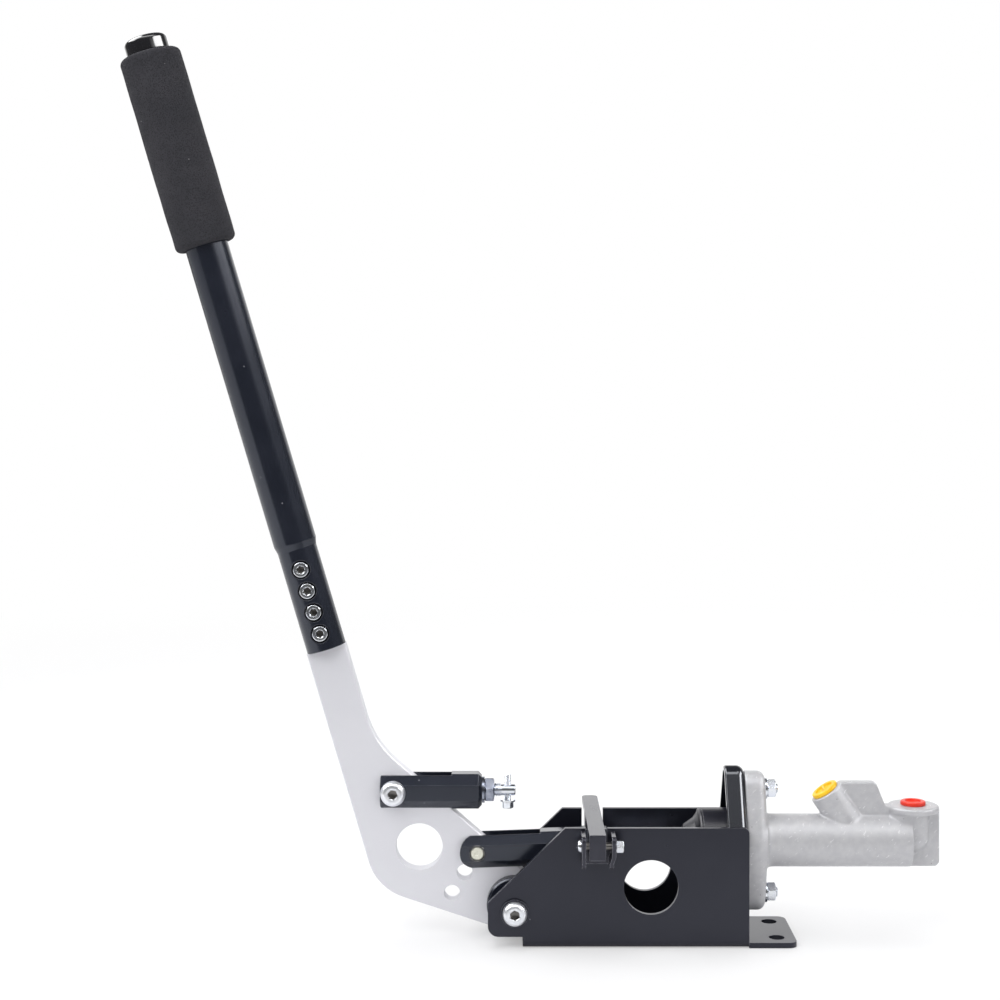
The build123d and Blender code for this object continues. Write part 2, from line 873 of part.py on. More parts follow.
def cable_clevis():
    """Clevis for the second brake's cable, on the upper hole of the plate."""
    tip = cable_clevis_length - cable_clevis_tail
    body = octagon_bar(-cable_clevis_tail, tip)
    tail_edges = body.edges().filter_by(Axis.Y).group_by(Axis.X)[0]
    body = fillet(tail_edges, cable_clevis_corner)
    body -= block(-cable_clevis_tail, cable_slot_end(), -half_slot, half_slot, -half_bar, half_bar)
    body -= rod_y(Vector(0, 0), pivot_bolt_radius + bolt_hole_play, -half_bar, half_bar)
    body -= rod_x(0, 0, stud_radius + thread_play, tip - stud_thread_depth, tip)
    return cable_plane.location * body


def cable_bolt():
    """Button-head bolt that the cable clevis swings on."""
    length = bar_size + nut_height + thread_tail
    screw = button_screw(
        pivot_bolt_radius,
        length,
        button_head_radius,
        button_head_height,
        button_socket,
    )
    return facing(cable_hole.X, -half_bar, cable_hole.Y, (0, -1, 0)) * screw


def cable_nut():
    """Nut on the cable clevis bolt."""
    place = facing(cable_hole.X, half_bar, cable_hole.Y, (0, 1, 0))
    return place * nut(nut_size, nut_height, pivot_bolt_radius)


def cable_tip_x():
    """End face of the cable clevis."""
    return cable_hole.X + cable_clevis_length - cable_clevis_tail


def stud_washer():
    """Washer between the cable clevis and its nut."""
    ring = tube(stud_washer_radius, stud_radius + bolt_hole_play, 0, stud_washer_height)
    return facing(cable_tip_x(), 0, cable_hole.Y, (1, 0, 0)) * ring


def stud_nut():
    """Nut that locks the cable stud."""
    place = facing(cable_tip_x() + stud_washer_height, 0, cable_hole.Y, (1, 0, 0))
    return place * nut(nut_size, stud_nut_height, stud_radius)


def cable_stud():
    """Stud with a cross hole for the pinch bolt."""
    place = facing(cable_tip_x(), 0, cable_hole.Y, (1, 0, 0))
    body = disc(stud_radius, -stud_thread_depth, stud_thread_length)
    body += disc(stud_neck_radius, stud_thread_length, stud_length)
    body = place * body
    hole = disc(pinch_radius + thread_play, -stud_radius, stud_radius)
    return body - Pos(pinch_x(), 0, cable_hole.Y) * hole


def pinch_x():
    """Place of the pinch bolt along X."""
    return cable_tip_x() + stud_length - pinch_setback


def pinch_bolt():
    """Small bolt that clamps the cable under the stud, head below."""
    seat = stud_neck_radius + pinch_washer_gap + pinch_washer_height
    screw = cap_screw(
        pinch_radius,
        seat + stud_neck_radius + pinch_rise,
        pinch_head_radius,
        pinch_head_height,
        pinch_socket,
    )
    return facing(pinch_x(), 0, cable_hole.Y - seat, (0, 0, -1)) * screw


def pinch_washer():
    """Washer on the pinch bolt's head that presses on the cable."""
    ring = tube(pinch_washer_radius, pinch_radius + thread_play, 0, pinch_washer_height)
    seat = stud_neck_radius + pinch_washer_gap + pinch_washer_height
    return Pos(pinch_x(), 0, cable_hole.Y - seat) * ring


def flange_outline():
    """Two-bolt flange seen along the cylinder, local x across and y up."""
    offset = flange_bolt_spacing / 2
    edges = Circle(flange_waist_radius).edges()
    for side in (-1, 1):
        edges += (Pos(0, side * offset) * Circle(flange_ear_radius)).edges()
    return make_hull(edges)


def casting_flange():
    """Flange with its thick rounded outer rim."""
    plate = extrude(flange_outline(), amount=flange_thickness)
    return fillet(plate.edges().group_by(Axis.Z)[-1], flange_edge_radius)


def casting_barrel():
    """Turned outside of the cylinder with a fillet at the flange."""
    skirt = casting_radius + 2 * casting_root_radius
    profile = Polygon(
        (0, flange_thickness / 2),
        (skirt, flange_thickness / 2),
        (skirt, flange_thickness),
        (casting_radius, flange_thickness),
        (casting_radius, casting_length),
        (0, casting_length),
        align=None,
    )
    corner = profile.vertices().sort_by_distance((casting_radius, flange_thickness, 0))[0]
    profile = fillet(corner, casting_root_radius)
    return revolve(Plane.XZ * profile, Axis.Z)


def inlet_place():
    """Seat of the inlet plug, local Z out of the port."""
    direction = (-turn(inlet_angle).X, 0, turn(inlet_angle).Y)
    return facing(seat_x + inlet_seat_run, 0, cylinder_height + inlet_seat_rise, direction)


def inlet_boss_length():
    """Reach of the inlet boss down to the cylinder's axis."""
    return inlet_seat_rise / turn(inlet_angle).Y


def rib():
    """Web from the inlet boss to the outlet."""
    z0 = cylinder_height
    boss_foot_x = seat_x + inlet_seat_run + inlet_seat_rise / math.tan(math.radians(inlet_angle))
    boss_top_x = boss_foot_x - rib_top_rise / math.tan(math.radians(inlet_angle))
    side_shift = inlet_radius / turn(inlet_angle).Y
    outline = Polygon(
        (boss_foot_x, z0),
        (boss_top_x + side_shift, z0 + rib_top_rise),
        (seat_x + rib_crest_end, z0 + rib_top_rise),
        (seat_x + rib_foot_end, z0 + outlet_disc_rise),
        (seat_x + outlet_run, z0 + outlet_disc_rise),
        (seat_x + outlet_run, z0),
        align=None,
    )
    crest = outline.vertices().sort_by_distance((seat_x + rib_crest_end, z0 + rib_top_rise, 0))[0]
    outline = fillet(crest, rib_corner)
    return slab(outline, -rib_thickness / 2, rib_thickness / 2)


def outlet_boss():
    """Outlet disc, its neck, the column with a round foot, and the end web."""
    top = cylinder_height + outlet_disc_rise
    under = top - outlet_disc_thickness / 2
    centre_x = seat_x + outlet_run
    head = disc(outlet_disc_radius, top - outlet_disc_thickness, top)
    head = fillet(head.edges(), outlet_disc_edge)
    column_end = cylinder_height + column_end_rise
    column = disc(column_radius, column_end, under)
    body = Pos(centre_x, 0, 0) * (head + column)
    body += Pos(centre_x, 0, column_end) * Sphere(column_radius)
    neck_x = centre_x - column_neck_run
    body += Pos(neck_x, 0, 0) * disc(column_radius, cylinder_height, under)
    body += block(neck_x, centre_x, -column_radius, column_radius, cylinder_height, under)
    web = block(
        centre_x - column_radius,
        centre_x + outlet_disc_radius,
        -rib_thickness / 2,
        rib_thickness / 2,
        cylinder_height - casting_radius + web_foot_rise,
        under,
    )
    low_edge = web.edges().filter_by(Axis.Y).group_by(Axis.Z)[0].sort_by(Axis.X)[-1]
    return body + fillet(low_edge, web_corner)


def master_cylinder():
    """Cast body with flange, spigot, inlet boss, rib, outlet and its bores."""
    place = cylinder_plane.location
    body = place * casting_flange()
    body += place * casting_barrel()
    body += place * disc(spigot_radius, -spigot_length, flange_thickness / 2)
    body += inlet_place() * disc(inlet_radius, -inlet_boss_length(), 0)
    body += rib()
    body += outlet_boss()
    body -= place * disc(bore_radius, -spigot_length, bore_end)
    body -= place * disc(clip_recess_radius, -spigot_length, -spigot_length + clip_recess_depth)
    groove_start = -spigot_length + clip_setback
    body -= place * disc(clip_groove_radius, groove_start, groove_start + clip_thickness)
    body -= inlet_place() * disc(inlet_port_radius, -inlet_port_depth, 0)
    body -= inlet_place() * disc(port_drill_radius, -inlet_boss_length(), 0)
    top = cylinder_height + outlet_disc_rise
    outlet = Pos(seat_x + outlet_run, 0, top)
    body -= outlet * disc(outlet_port_radius, -outlet_port_depth, 0)
    body -= outlet * disc(port_drill_radius, -outlet_disc_rise, 0)
    body -= place * disc(port_drill_radius, bore_end, outlet_run)
    for side in (-1, 1):
        z = cylinder_height + side * flange_bolt_spacing / 2
        body -= rod_x(0, z, flange_bolt_radius + bolt_hole_play, seat_x, flange_front_x)
    return body


def port_plug(radius, port_radius):
    """Push-in port plug with a dished head, head up from local z 0."""
    head = disc(radius, 0, plug_head_height)
    head = fillet(head.edges().group_by(Axis.Z)[-1], plug_edge_radius)
    head -= disc(radius - plug_rim, plug_head_height - plug_dimple_depth, plug_head_height)
    return head + disc(port_radius - plug_play, -plug_stub_length, 0)


def inlet_plug():
    """Yellow plug in the inlet."""
    return inlet_place() * port_plug(inlet_plug_radius, inlet_port_radius)


def outlet_plug():
    """Red plug in the outlet."""
    top = cylinder_height + outlet_disc_rise
    return Pos(seat_x + outlet_run, 0, top) * port_plug(outlet_plug_radius, outlet_port_radius)


def flange_fasteners(kind):
    """The two bolts, nuts or washers of the flange, one kind at a time."""
    pieces = []
    for side in (-1, 1):
        z = cylinder_height + side * flange_bolt_spacing / 2
        front = flange_front_x + flange_washer_height
        if kind == "bolt":
            span = sheet + flange_thickness + flange_washer_height
            length = span + flange_nut_height + flange_bolt_tail
            bolt = hex_bolt(flange_bolt_radius, length, flange_nut_size, flange_head_height)
            pieces.append(facing(seat_x - sheet, 0, z, (-1, 0, 0)) * bolt)
        if kind == "nut":
            hexagon = nut(flange_nut_size, flange_nut_height, flange_bolt_radius)
            pieces.append(facing(front, 0, z, (1, 0, 0)) * hexagon)
        if kind == "washer":
            ring = tube(
                flange_washer_radius,
                flange_bolt_radius + bolt_hole_play,
                0,
                flange_washer_height,
            )
            pieces.append(facing(flange_front_x, 0, z, (1, 0, 0)) * ring)
    return Compound(children=pieces)


def boot():
    """Rubber boot over the spigot, with a groove and a rounded nose."""
    inner = spigot_radius + soft_gap
    outer = inner + boot_wall
    sleeve_low = -boot_length + boot_nose_length
    groove = sleeve_low + boot_groove_setback
    profile = Polygon(
        (outer, -soft_gap),
        (outer, groove + boot_groove_width),
        (outer - boot_groove_depth, groove + boot_groove_width / 2),
        (outer, groove),
        (outer, sleeve_low),
        (boot_mouth_radius + boot_wall, -boot_length),
        (boot_mouth_radius, -boot_length),
        (boot_mouth_radius, -boot_length + boot_wall),
        (inner - boot_wall, sleeve_low + boot_wall / 2),
        (inner, sleeve_low + 2 * boot_wall),
        (inner, -soft_gap),
        align=None,
    )
    shoulder = profile.vertices().sort_by_distance((outer, sleeve_low, 0))[0]
    profile = fillet(shoulder, boot_shoulder_radius)
    return cylinder_plane.location * revolve(Plane.XZ * profile, Axis.Z)


def stop_washer():
    """Washer that the piston comes to rest on."""
    face = -spigot_length + clip_recess_depth
    ring = tube(stop_washer_radius, stop_washer_inner, face - stop_washer_height, face)
    return cylinder_plane.location * ring


def circlip():
    """Open ring in the groove at the cylinder's mouth."""
    start = -spigot_length + clip_setback
    ring = tube(clip_groove_radius - thread_play, clip_inner_radius, start, start + clip_thickness)
    gap_width = 2 * clip_inner_radius * math.sin(math.radians(clip_gap_angle / 2))
    gap = Pos(0, -clip_groove_radius, start + clip_thickness / 2)
    ring -= gap * Box(gap_width, clip_groove_radius * 2, clip_thickness)
    return cylinder_plane.location * ring


def piston():
    """Piston with a rod cup behind and two seal grooves."""
    start = piston_back_x - seat_x
    end = start + piston_length
    body = disc(bore_radius - running_play, start, end)
    for groove in seal_starts():
        body -= tube(bore_radius, piston_neck_radius, groove, groove + seal_height)
    body -= disc(piston_cup_radius, start, start + piston_cup_depth)
    return cylinder_plane.location * body


def seal_starts():
    """Where the two seal grooves begin, from the flange seat."""
    start = piston_back_x - seat_x
    rear = start + piston_cup_depth + seal_setback
    front = start + piston_length - seal_setback - seal_height
    return rear, front


def seal(start):
    """Rubber ring in one of the piston's grooves."""
    ring = tube(bore_radius - running_play, piston_neck_radius + thread_play, start, start + seal_height)
    return cylinder_plane.location * ring


def return_spring():
    """Coil spring between the piston and the end of the bore."""
    start = piston_back_x - seat_x + piston_length
    height = bore_end - start - 2 * spring_wire_radius
    path = Helix(pitch=spring_pitch, height=height, radius=spring_radius)
    section = Plane(origin=path @ 0, z_dir=path % 0) * Circle(spring_wire_radius)
    coil = sweep(section, path=path)
    return cylinder_plane.location * Pos(0, 0, start + spring_wire_radius) * coil


rear_seal_start, front_seal_start = seal_starts()

pieces = {
    "base_channel": base_channel(),
    "rear_upright": rear_upright(),
    "latch_bracket": latch_bracket(),
    "latch_bolt": latch_bolt(),
    "latch_nut": latch_nut(),
    "latch_bar": latch_bar(),
    "pivot_bolt": pivot_bolt(),
    "pivot_nut": pivot_nut(),
    "pivot_washers": pivot_washers(),
    "pivot_spacers": pivot_spacers(),
    "lever_plate": lever_plate(),
    "hub_disc_near": hub_disc(-1),
    "hub_disc_far": hub_disc(1),
    "pivot_bush": pivot_bush(),
    "rod_pin_bush": rod_pin_bush(),
    "mast": mast(),
    "mast_screws": mast_screws(),
    "foam_grip": foam_grip(),
    "end_cap": end_cap(),
    "push_rod_clevis": push_rod_clevis(),
    "rod_pin": rod_pin(),
    "push_rod": push_rod(),
    "rod_jam_nut": rod_jam_nut(),
    "cable_clevis": cable_clevis(),
    "cable_bolt": cable_bolt(),
    "cable_nut": cable_nut(),
    "stud_washer": stud_washer(),
    "stud_nut": stud_nut(),
    "cable_stud": cable_stud(),
    "pinch_bolt": pinch_bolt(),
    "pinch_washer": pinch_washer(),
    "master_cylinder": master_cylinder(),
    "inlet_plug": inlet_plug(),
    "outlet_plug": outlet_plug(),
    "flange_bolts": flange_fasteners("bolt"),
    "flange_nuts": flange_fasteners("nut"),
    "flange_washers": flange_fasteners("washer"),
    "boot": boot(),
    "stop_washer": stop_washer(),
    "circlip": circlip(),
    "piston": piston(),
    "rear_seal": seal(rear_seal_start),
    "front_seal": seal(front_seal_start),
    "return_spring": return_spring(),
}

os.makedirs("parts", exist_ok=True)
for name, piece in pieces.items():
    piece.label = name
    export_step(piece, f"parts/{name}.step")
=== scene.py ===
import bpy
import bmesh
import json
import math
from mathutils import Matrix, Vector, noise


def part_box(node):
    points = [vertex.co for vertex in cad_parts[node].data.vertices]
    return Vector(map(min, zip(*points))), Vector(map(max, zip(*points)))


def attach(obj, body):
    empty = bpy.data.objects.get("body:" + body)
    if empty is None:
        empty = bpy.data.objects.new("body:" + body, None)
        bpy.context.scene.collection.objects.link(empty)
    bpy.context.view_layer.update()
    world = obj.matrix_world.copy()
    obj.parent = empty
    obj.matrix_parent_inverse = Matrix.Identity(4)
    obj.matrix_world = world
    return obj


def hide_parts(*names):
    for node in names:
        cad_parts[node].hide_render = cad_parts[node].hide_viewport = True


# Looks of a tall hydraulic parking brake lever, in metres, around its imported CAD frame

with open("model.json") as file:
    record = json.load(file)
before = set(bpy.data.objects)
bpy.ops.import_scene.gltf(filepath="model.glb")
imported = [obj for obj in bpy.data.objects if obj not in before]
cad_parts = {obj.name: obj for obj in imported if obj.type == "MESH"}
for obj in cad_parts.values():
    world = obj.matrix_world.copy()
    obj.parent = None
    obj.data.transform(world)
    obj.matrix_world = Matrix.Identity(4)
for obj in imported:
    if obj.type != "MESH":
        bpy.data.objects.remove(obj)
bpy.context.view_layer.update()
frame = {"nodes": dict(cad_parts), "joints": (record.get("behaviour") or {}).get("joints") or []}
nodes = frame["nodes"]
joints = {joint["name"]: joint for joint in frame["joints"]}
mergeDistance = 0.000001  # welds doubled points and nothing else


def jointPoint(name):
    return Vector(joints[name]["pos_m"])


pivotPoint = jointPoint("lever_swing")
rodPoint = jointPoint("rod_swing")
cablePoint = jointPoint("cable_clevis_swing")
latchPoint = jointPoint("latch_swing")
toFront = Vector((0, -1, 0))
toBack = Vector((0, 1, 0))
toCylinder = Vector((1, 0, 0))
toLever = Vector((-1, 0, 0))
upward = Vector((0, 0, 1))
downward = Vector((0, 0, -1))


def placeAlong(point, direction, spin=0.0):
    # local Z points along the direction
    turn = Vector(direction).to_track_quat("Z", "Y").to_matrix().to_4x4()
    return Matrix.Translation(point) @ turn @ Matrix.Rotation(math.radians(spin), 4, "Z")


print("frame loaded:", len(nodes), "nodes")


def feed(tree, made, inputs):
    # each input, by name or place, gets a link or a plain value
    for key, value in inputs.items():
        if isinstance(value, bpy.types.NodeSocket):
            tree.links.new(value, made.inputs[key])
        else:
            made.inputs[key].default_value = value
    return made


def addNode(tree, kind, inputs=None, **settings):
    made = tree.nodes.new(kind)
    for key, value in settings.items():
        setattr(made, key, value)
    return feed(tree, made, inputs or {})


def addMath(tree, operation, *values, clamp=False):
    inputs = dict(enumerate(values))
    return addNode(tree, "ShaderNodeMath", inputs, operation=operation, use_clamp=clamp).outputs[0]


def addRamp(tree, value, low, high, invert=False):
    start, end = (1.0, 0.0) if invert else (0.0, 1.0)
    inputs = {"Value": value, "From Min": low, "From Max": high, "To Min": start, "To Max": end}
    return addNode(tree, "ShaderNodeMapRange", inputs, interpolation_type="SMOOTHSTEP").outputs[0]


def objectPlace(tree):
    return addNode(tree, "ShaderNodeTexCoord").outputs["Object"]


def newGroup(name, inputs, outputs):
    # plain number inputs with their defaults, and outputs with their kinds
    group = bpy.data.node_groups.new(name, "ShaderNodeTree")
    for socketName, default in inputs.items():
        made = group.interface.new_socket(socketName, in_out="INPUT", socket_type="NodeSocketFloat")
        made.default_value = default
    for socketName, kind in outputs.items():
        group.interface.new_socket(socketName, in_out="OUTPUT", socket_type="NodeSocket" + kind)
    return group, addNode(group, "NodeGroupInput").outputs, addNode(group, "NodeGroupOutput")


groupLook = {
    "edgeSamples": 6, "edgeRamp": (0.80, 0.995), "grainDetail": 3.0, "mottleDetail": 4.0,
    "markDetail": 5.0, "markRoughness": 0.62, "markBlend": 0.05,
}


def buildSoftEdge():
    # rounds sharp edges in the shading and tells where they are
    group, start, end = newGroup("softEdge", {"Radius": 0.0004}, {"Normal": "Vector", "Edge": "Float"})
    bevel = addNode(group, "ShaderNodeBevel", {"Radius": start["Radius"]}, samples=groupLook["edgeSamples"])
    rounded = bevel.outputs["Normal"]
    plain = addNode(group, "ShaderNodeNewGeometry").outputs["Normal"]
    dot = addNode(group, "ShaderNodeVectorMath", {0: rounded, 1: plain}, operation="DOT_PRODUCT")
    edge = addRamp(group, dot.outputs["Value"], *groupLook["edgeRamp"], invert=True)
    feed(group, end, {"Normal": rounded, "Edge": edge})
    return group


def buildGrain():
    # fine even grain with a slower mottling on top
    inputs = {"Scale": 1500.0, "Mottle Scale": 60.0}
    group, start, end = newGroup("fineGrain", inputs, {"Grain": "Float", "Mottle": "Float"})
    place = objectPlace(group)
    parts = (("Grain", "Scale", "grainDetail"), ("Mottle", "Mottle Scale", "mottleDetail"))
    for outName, scaleName, detail in parts:
        inputs = {"Vector": place, "Scale": start[scaleName], "Detail": groupLook[detail]}
        feed(group, end, {outName: addNode(group, "ShaderNodeTexNoise", inputs).outputs["Fac"]})
    return group


def buildSpecks():
    # sparse round specks of dust
    inputs = {"Scale": 350.0, "Size": 0.14, "Share": 0.03}
    group, start, end = newGroup("dustSpecks", inputs, {"Mask": "Float"})
    cells = addNode(group, "ShaderNodeTexVoronoi", {"Vector": objectPlace(group), "Scale": start["Scale"]})
    near = addMath(group, "LESS_THAN", cells.outputs["Distance"], start["Size"])
    tone = addNode(group, "ShaderNodeSeparateColor", {"Color": cells.outputs["Color"]})
    chosen = addMath(group, "LESS_THAN", tone.outputs["Red"], start["Share"])
    feed(group, end, {"Mask": addMath(group, "MULTIPLY", near, chosen)})
    return group


def buildScratches():
    # short rubbed marks along one slanted direction
    inputs = {"Scale": 120.0, "Stretch": 6.0, "Angle": 0.6, "Share": 0.62}
    group, start, end = newGroup("rubMarks", inputs, {"Mask": "Float"})
    inputs = {"Vector": objectPlace(group), "Angle": start["Angle"]}
    turn = addNode(group, "ShaderNodeVectorRotate", inputs, rotation_type="Y_AXIS")
    axes = addNode(group, "ShaderNodeSeparateXYZ", {"Vector": turn.outputs["Vector"]}).outputs
    thin = addMath(group, "MULTIPLY", axes["Z"], start["Stretch"])
    merged = addNode(group, "ShaderNodeCombineXYZ", {"X": axes["X"], "Y": axes["Y"], "Z": thin})
    pattern = addNode(group, "ShaderNodeTexNoise", {
        "Vector": merged.outputs["Vector"], "Scale": start["Scale"],
        "Detail": groupLook["markDetail"], "Roughness": groupLook["markRoughness"],
    })
    high = addMath(group, "ADD", start["Share"], groupLook["markBlend"])
    feed(group, end, {"Mask": addRamp(group, pattern.outputs["Fac"], start["Share"], high)})
    return group


softEdge = buildSoftEdge()
fineGrain = buildGrain()
dustSpecks = buildSpecks()
rubMarks = buildScratches()
print("node groups ready")


def useGroup(tree, group, inputs):
    return addNode(tree, "ShaderNodeGroup", inputs, node_tree=group).outputs


def blendColors(tree, mask, *colors):
    first, second = [(*color, 1.0) if isinstance(color, tuple) else color for color in colors]
    inputs = {0: mask, 6: first, 7: second}
    return addNode(tree, "ShaderNodeMix", inputs, data_type="RGBA", clamp_factor=True).outputs[2]


plainSurface = {
    "metallic": 0.0, "specular": 0.5, "specularTint": (1.0, 1.0, 1.0), "coat": 0.0, "coatRoughness": 0.1,
    "bump": 0.08, "bumpDepth": 0.0001, "edgeRadius": 0.0003,
    "mottleRamp": (0.35, 0.65), "edgeWearAndHighlightRamp": (0.15, 0.55),
}


def newMaterial(name, inputs):
    made = bpy.data.materials.new(name)
    made.use_nodes = True
    tree = made.node_tree
    return made, tree, feed(tree, tree.nodes["Principled BSDF"], inputs)


def addBump(tree, look, inputs):
    inputs = {"Strength": look["bump"], "Distance": look["bumpDepth"], **inputs}
    return addNode(tree, "ShaderNodeBump", inputs).outputs["Normal"]


def addGrain(tree, look):
    scale, mottleScale = look["grain"]
    grain = useGroup(tree, fineGrain, {"Scale": scale, "Mottle Scale": mottleScale})
    mottle = addRamp(tree, grain["Mottle"], *look["mottleRamp"])
    return grain, blendColors(tree, mottle, look["color"], look["color2"])


def addSpecks(tree, look, color):
    specks = useGroup(tree, dustSpecks, look["specks"])
    return blendColors(tree, specks["Mask"], color, look["speckColor"])


def surfaceMaterial(name, changes):
    # one recipe, and each finish changes some of the plain values
    look = {**plainSurface, **changes}
    made, tree, shader = newMaterial(name, {
        "Metallic": look["metallic"],
        "Specular IOR Level": look["specular"],
        "Specular Tint": (*look["specularTint"], 1),
        "Coat Weight": look["coat"],
        "Coat Roughness": look["coatRoughness"],
    })
    grain, color = addGrain(tree, look)
    edges = useGroup(tree, softEdge, {"Radius": look["edgeRadius"]})
    # lighter edges: partly edge wear, partly a painted highlight along the rounded edges
    if "edgeWearAndHighlight" in look:
        wornAndLitEdge = addMath(tree, "MULTIPLY", edges["Edge"], grain["Mottle"])
        color = blendColors(tree, addRamp(tree, wornAndLitEdge, *look["edgeWearAndHighlightRamp"]), color, look["edgeWearAndHighlight"])
    if "specks" in look:
        color = addSpecks(tree, look, color)
    level, spread = look["rough"]
    rough = addMath(tree, "MULTIPLY_ADD", grain["Mottle"], spread, level - spread / 2)
    if "marks" in look:
        marks = useGroup(tree, rubMarks, look["marks"])
        color = blendColors(tree, marks["Mask"], color, look["markColor"])
        lower = addMath(tree, "MULTIPLY", marks["Mask"], look["markShine"])
        rough = addMath(tree, "SUBTRACT", rough, lower, clamp=True)
    normal = addBump(tree, look, {"Height": grain["Grain"], "Normal": edges["Normal"]})
    feed(tree, shader, {"Base Color": color, "Roughness": rough, "Normal": normal})
    return made


# rough is a level and its spread, grain the scales of the fine grain and of the mottling; the lighter edge
# colour is partly edge wear and partly a painted highlight
finishes = {
    "powderBlack": {
        "color": (0.0080, 0.0086, 0.0132), "color2": (0.0108, 0.0113, 0.0165),
        "edgeWearAndHighlight": (0.12, 0.12, 0.14), "rough": (0.29, 0.08), "grain": (1100.0, 22.0),
        "bumpDepth": 0.0002, "edgeRadius": 0.0005, "specularTint": (0.84, 0.86, 1.0),
        "specks": {"Scale": 260.0, "Size": 0.10, "Share": 0.010}, "speckColor": (0.22, 0.22, 0.23),
    },
    "pressedBlack": {
        "color": (0.0075, 0.0085, 0.0125), "color2": (0.0095, 0.0105, 0.0150),
        "edgeWearAndHighlight": (0.06, 0.06, 0.07), "rough": (0.15, 0.04), "grain": (1100.0, 22.0),
        "bump": 0.03, "edgeRadius": 0.0004, "specularTint": (0.86, 0.90, 1.0),
        "coat": 0.7, "coatRoughness": 0.07,
    },
    "latchBlack": {
        "color": (0.018, 0.018, 0.024), "color2": (0.024, 0.024, 0.031), "edgeWearAndHighlight": (0.34, 0.34, 0.38),
        "rough": (0.26, 0.08), "grain": (1400.0, 60.0),
        "bump": 0.10, "bumpDepth": 0.0002, "edgeRadius": 0.0006, "specularTint": (0.84, 0.86, 1.0),
    },
    "anodisedBlack": {
        "color": (0.009, 0.011, 0.018), "color2": (0.012, 0.014, 0.022), "edgeWearAndHighlight": (0.09, 0.09, 0.10),
        "rough": (0.20, 0.06), "grain": (2200.0, 40.0), "specular": 0.62,
        "bump": 0.06, "edgeRadius": 0.0008, "specularTint": (0.86, 0.90, 1.0),
        "specks": {"Scale": 320.0, "Size": 0.13, "Share": 0.014}, "speckColor": (0.20, 0.20, 0.22),
    },
    "silverPlate": {
        "color": (0.72, 0.72, 0.76), "color2": (0.69, 0.69, 0.73), "edgeWearAndHighlight": (0.84, 0.84, 0.87),
        "metallic": 0.35, "rough": (0.48, 0.08), "grain": (2600.0, 14.0), "edgeRadius": 0.0005,
    },
    "castAluminium": {
        "color": (0.46, 0.46, 0.48), "color2": (0.50, 0.50, 0.515), "edgeWearAndHighlight": (0.70, 0.70, 0.71),
        "metallic": 0.25, "rough": (0.47, 0.14), "grain": (1700.0, 260.0),
        "bump": 0.38, "bumpDepth": 0.00025, "edgeRadius": 0.0010,
        "specks": {"Scale": 520.0, "Size": 0.15, "Share": 0.022}, "speckColor": (0.20, 0.20, 0.20),
        "marks": {"Scale": 260.0, "Stretch": 3.0, "Angle": 0.85, "Share": 0.625},
        "markColor": (0.66, 0.66, 0.67), "markShine": 0.15,
    },
    "zincBright": {
        "color": (0.78, 0.80, 0.83), "color2": (0.70, 0.73, 0.80),
        "metallic": 1.0, "rough": (0.20, 0.12), "grain": (1800.0, 180.0), "edgeRadius": 0.0004,
    },
    "zincSatin": {
        "color": (0.84, 0.85, 0.88), "color2": (0.78, 0.80, 0.84),
        "metallic": 0.9, "rough": (0.36, 0.14), "grain": (1800.0, 240.0),
        "bump": 0.10, "edgeRadius": 0.0004,
    },
    "zincDark": {
        "color": (0.34, 0.36, 0.42), "color2": (0.22, 0.24, 0.30),
        "metallic": 1.0, "rough": (0.26, 0.14), "grain": (1800.0, 320.0),
        "bump": 0.12, "edgeRadius": 0.0004,
    },
    "palePin": {
        "color": (0.76, 0.76, 0.66), "color2": (0.68, 0.68, 0.58), "edgeWearAndHighlight": (0.88, 0.88, 0.84),
        "metallic": 0.55, "rough": (0.36, 0.10), "grain": (2200.0, 300.0),
        "bump": 0.10, "edgeRadius": 0.0004,
    },
    "springSteel": {
        "color": (0.20, 0.19, 0.18), "color2": (0.15, 0.145, 0.14),
        "metallic": 1.0, "rough": (0.36, 0.10), "grain": (1800.0, 120.0),
    },
    "turnedAluminium": {
        "color": (0.68, 0.68, 0.69), "color2": (0.62, 0.62, 0.63),
        "metallic": 1.0, "rough": (0.28, 0.08), "grain": (2400.0, 120.0),
    },
    "sinteredBronze": {
        "color": (0.50, 0.32, 0.14), "color2": (0.42, 0.27, 0.12),
        "metallic": 1.0, "rough": (0.38, 0.10), "grain": (2600.0, 200.0), "bump": 0.15,
    },
    "glossCap": {
        "color": (0.006, 0.006, 0.008), "color2": (0.008, 0.008, 0.010),
        "rough": (0.10, 0.04), "grain": (900.0, 60.0), "bump": 0.02, "coat": 1.0, "coatRoughness": 0.04,
    },
    "bootRubber": {
        "color": (0.006, 0.006, 0.011), "color2": (0.009, 0.009, 0.015), "edgeWearAndHighlight": (0.30, 0.30, 0.33),
        "specular": 0.45, "rough": (0.32, 0.12), "grain": (1600.0, 70.0),
        "bump": 0.12, "bumpDepth": 0.0002, "edgeRadius": 0.0004,
    },
    "sealRubber": {
        "color": (0.02, 0.02, 0.02), "color2": (0.03, 0.03, 0.03),
        "rough": (0.55, 0.10), "grain": (1600.0, 90.0), "bump": 0.10,
    },
    "yellowPlastic": {
        "color": (0.93, 0.56, 0.012), "color2": (0.88, 0.50, 0.010), "edgeWearAndHighlight": (0.98, 0.68, 0.06),
        "rough": (0.40, 0.08), "grain": (1500.0, 140.0), "bump": 0.06,
    },
    "redPlastic": {
        "color": (0.80, 0.035, 0.012), "color2": (0.74, 0.028, 0.010), "edgeWearAndHighlight": (0.95, 0.12, 0.06),
        "rough": (0.38, 0.08), "grain": (1500.0, 140.0), "bump": 0.06,
    },
}
materials = {name: surfaceMaterial(name, look) for name, look in finishes.items()}


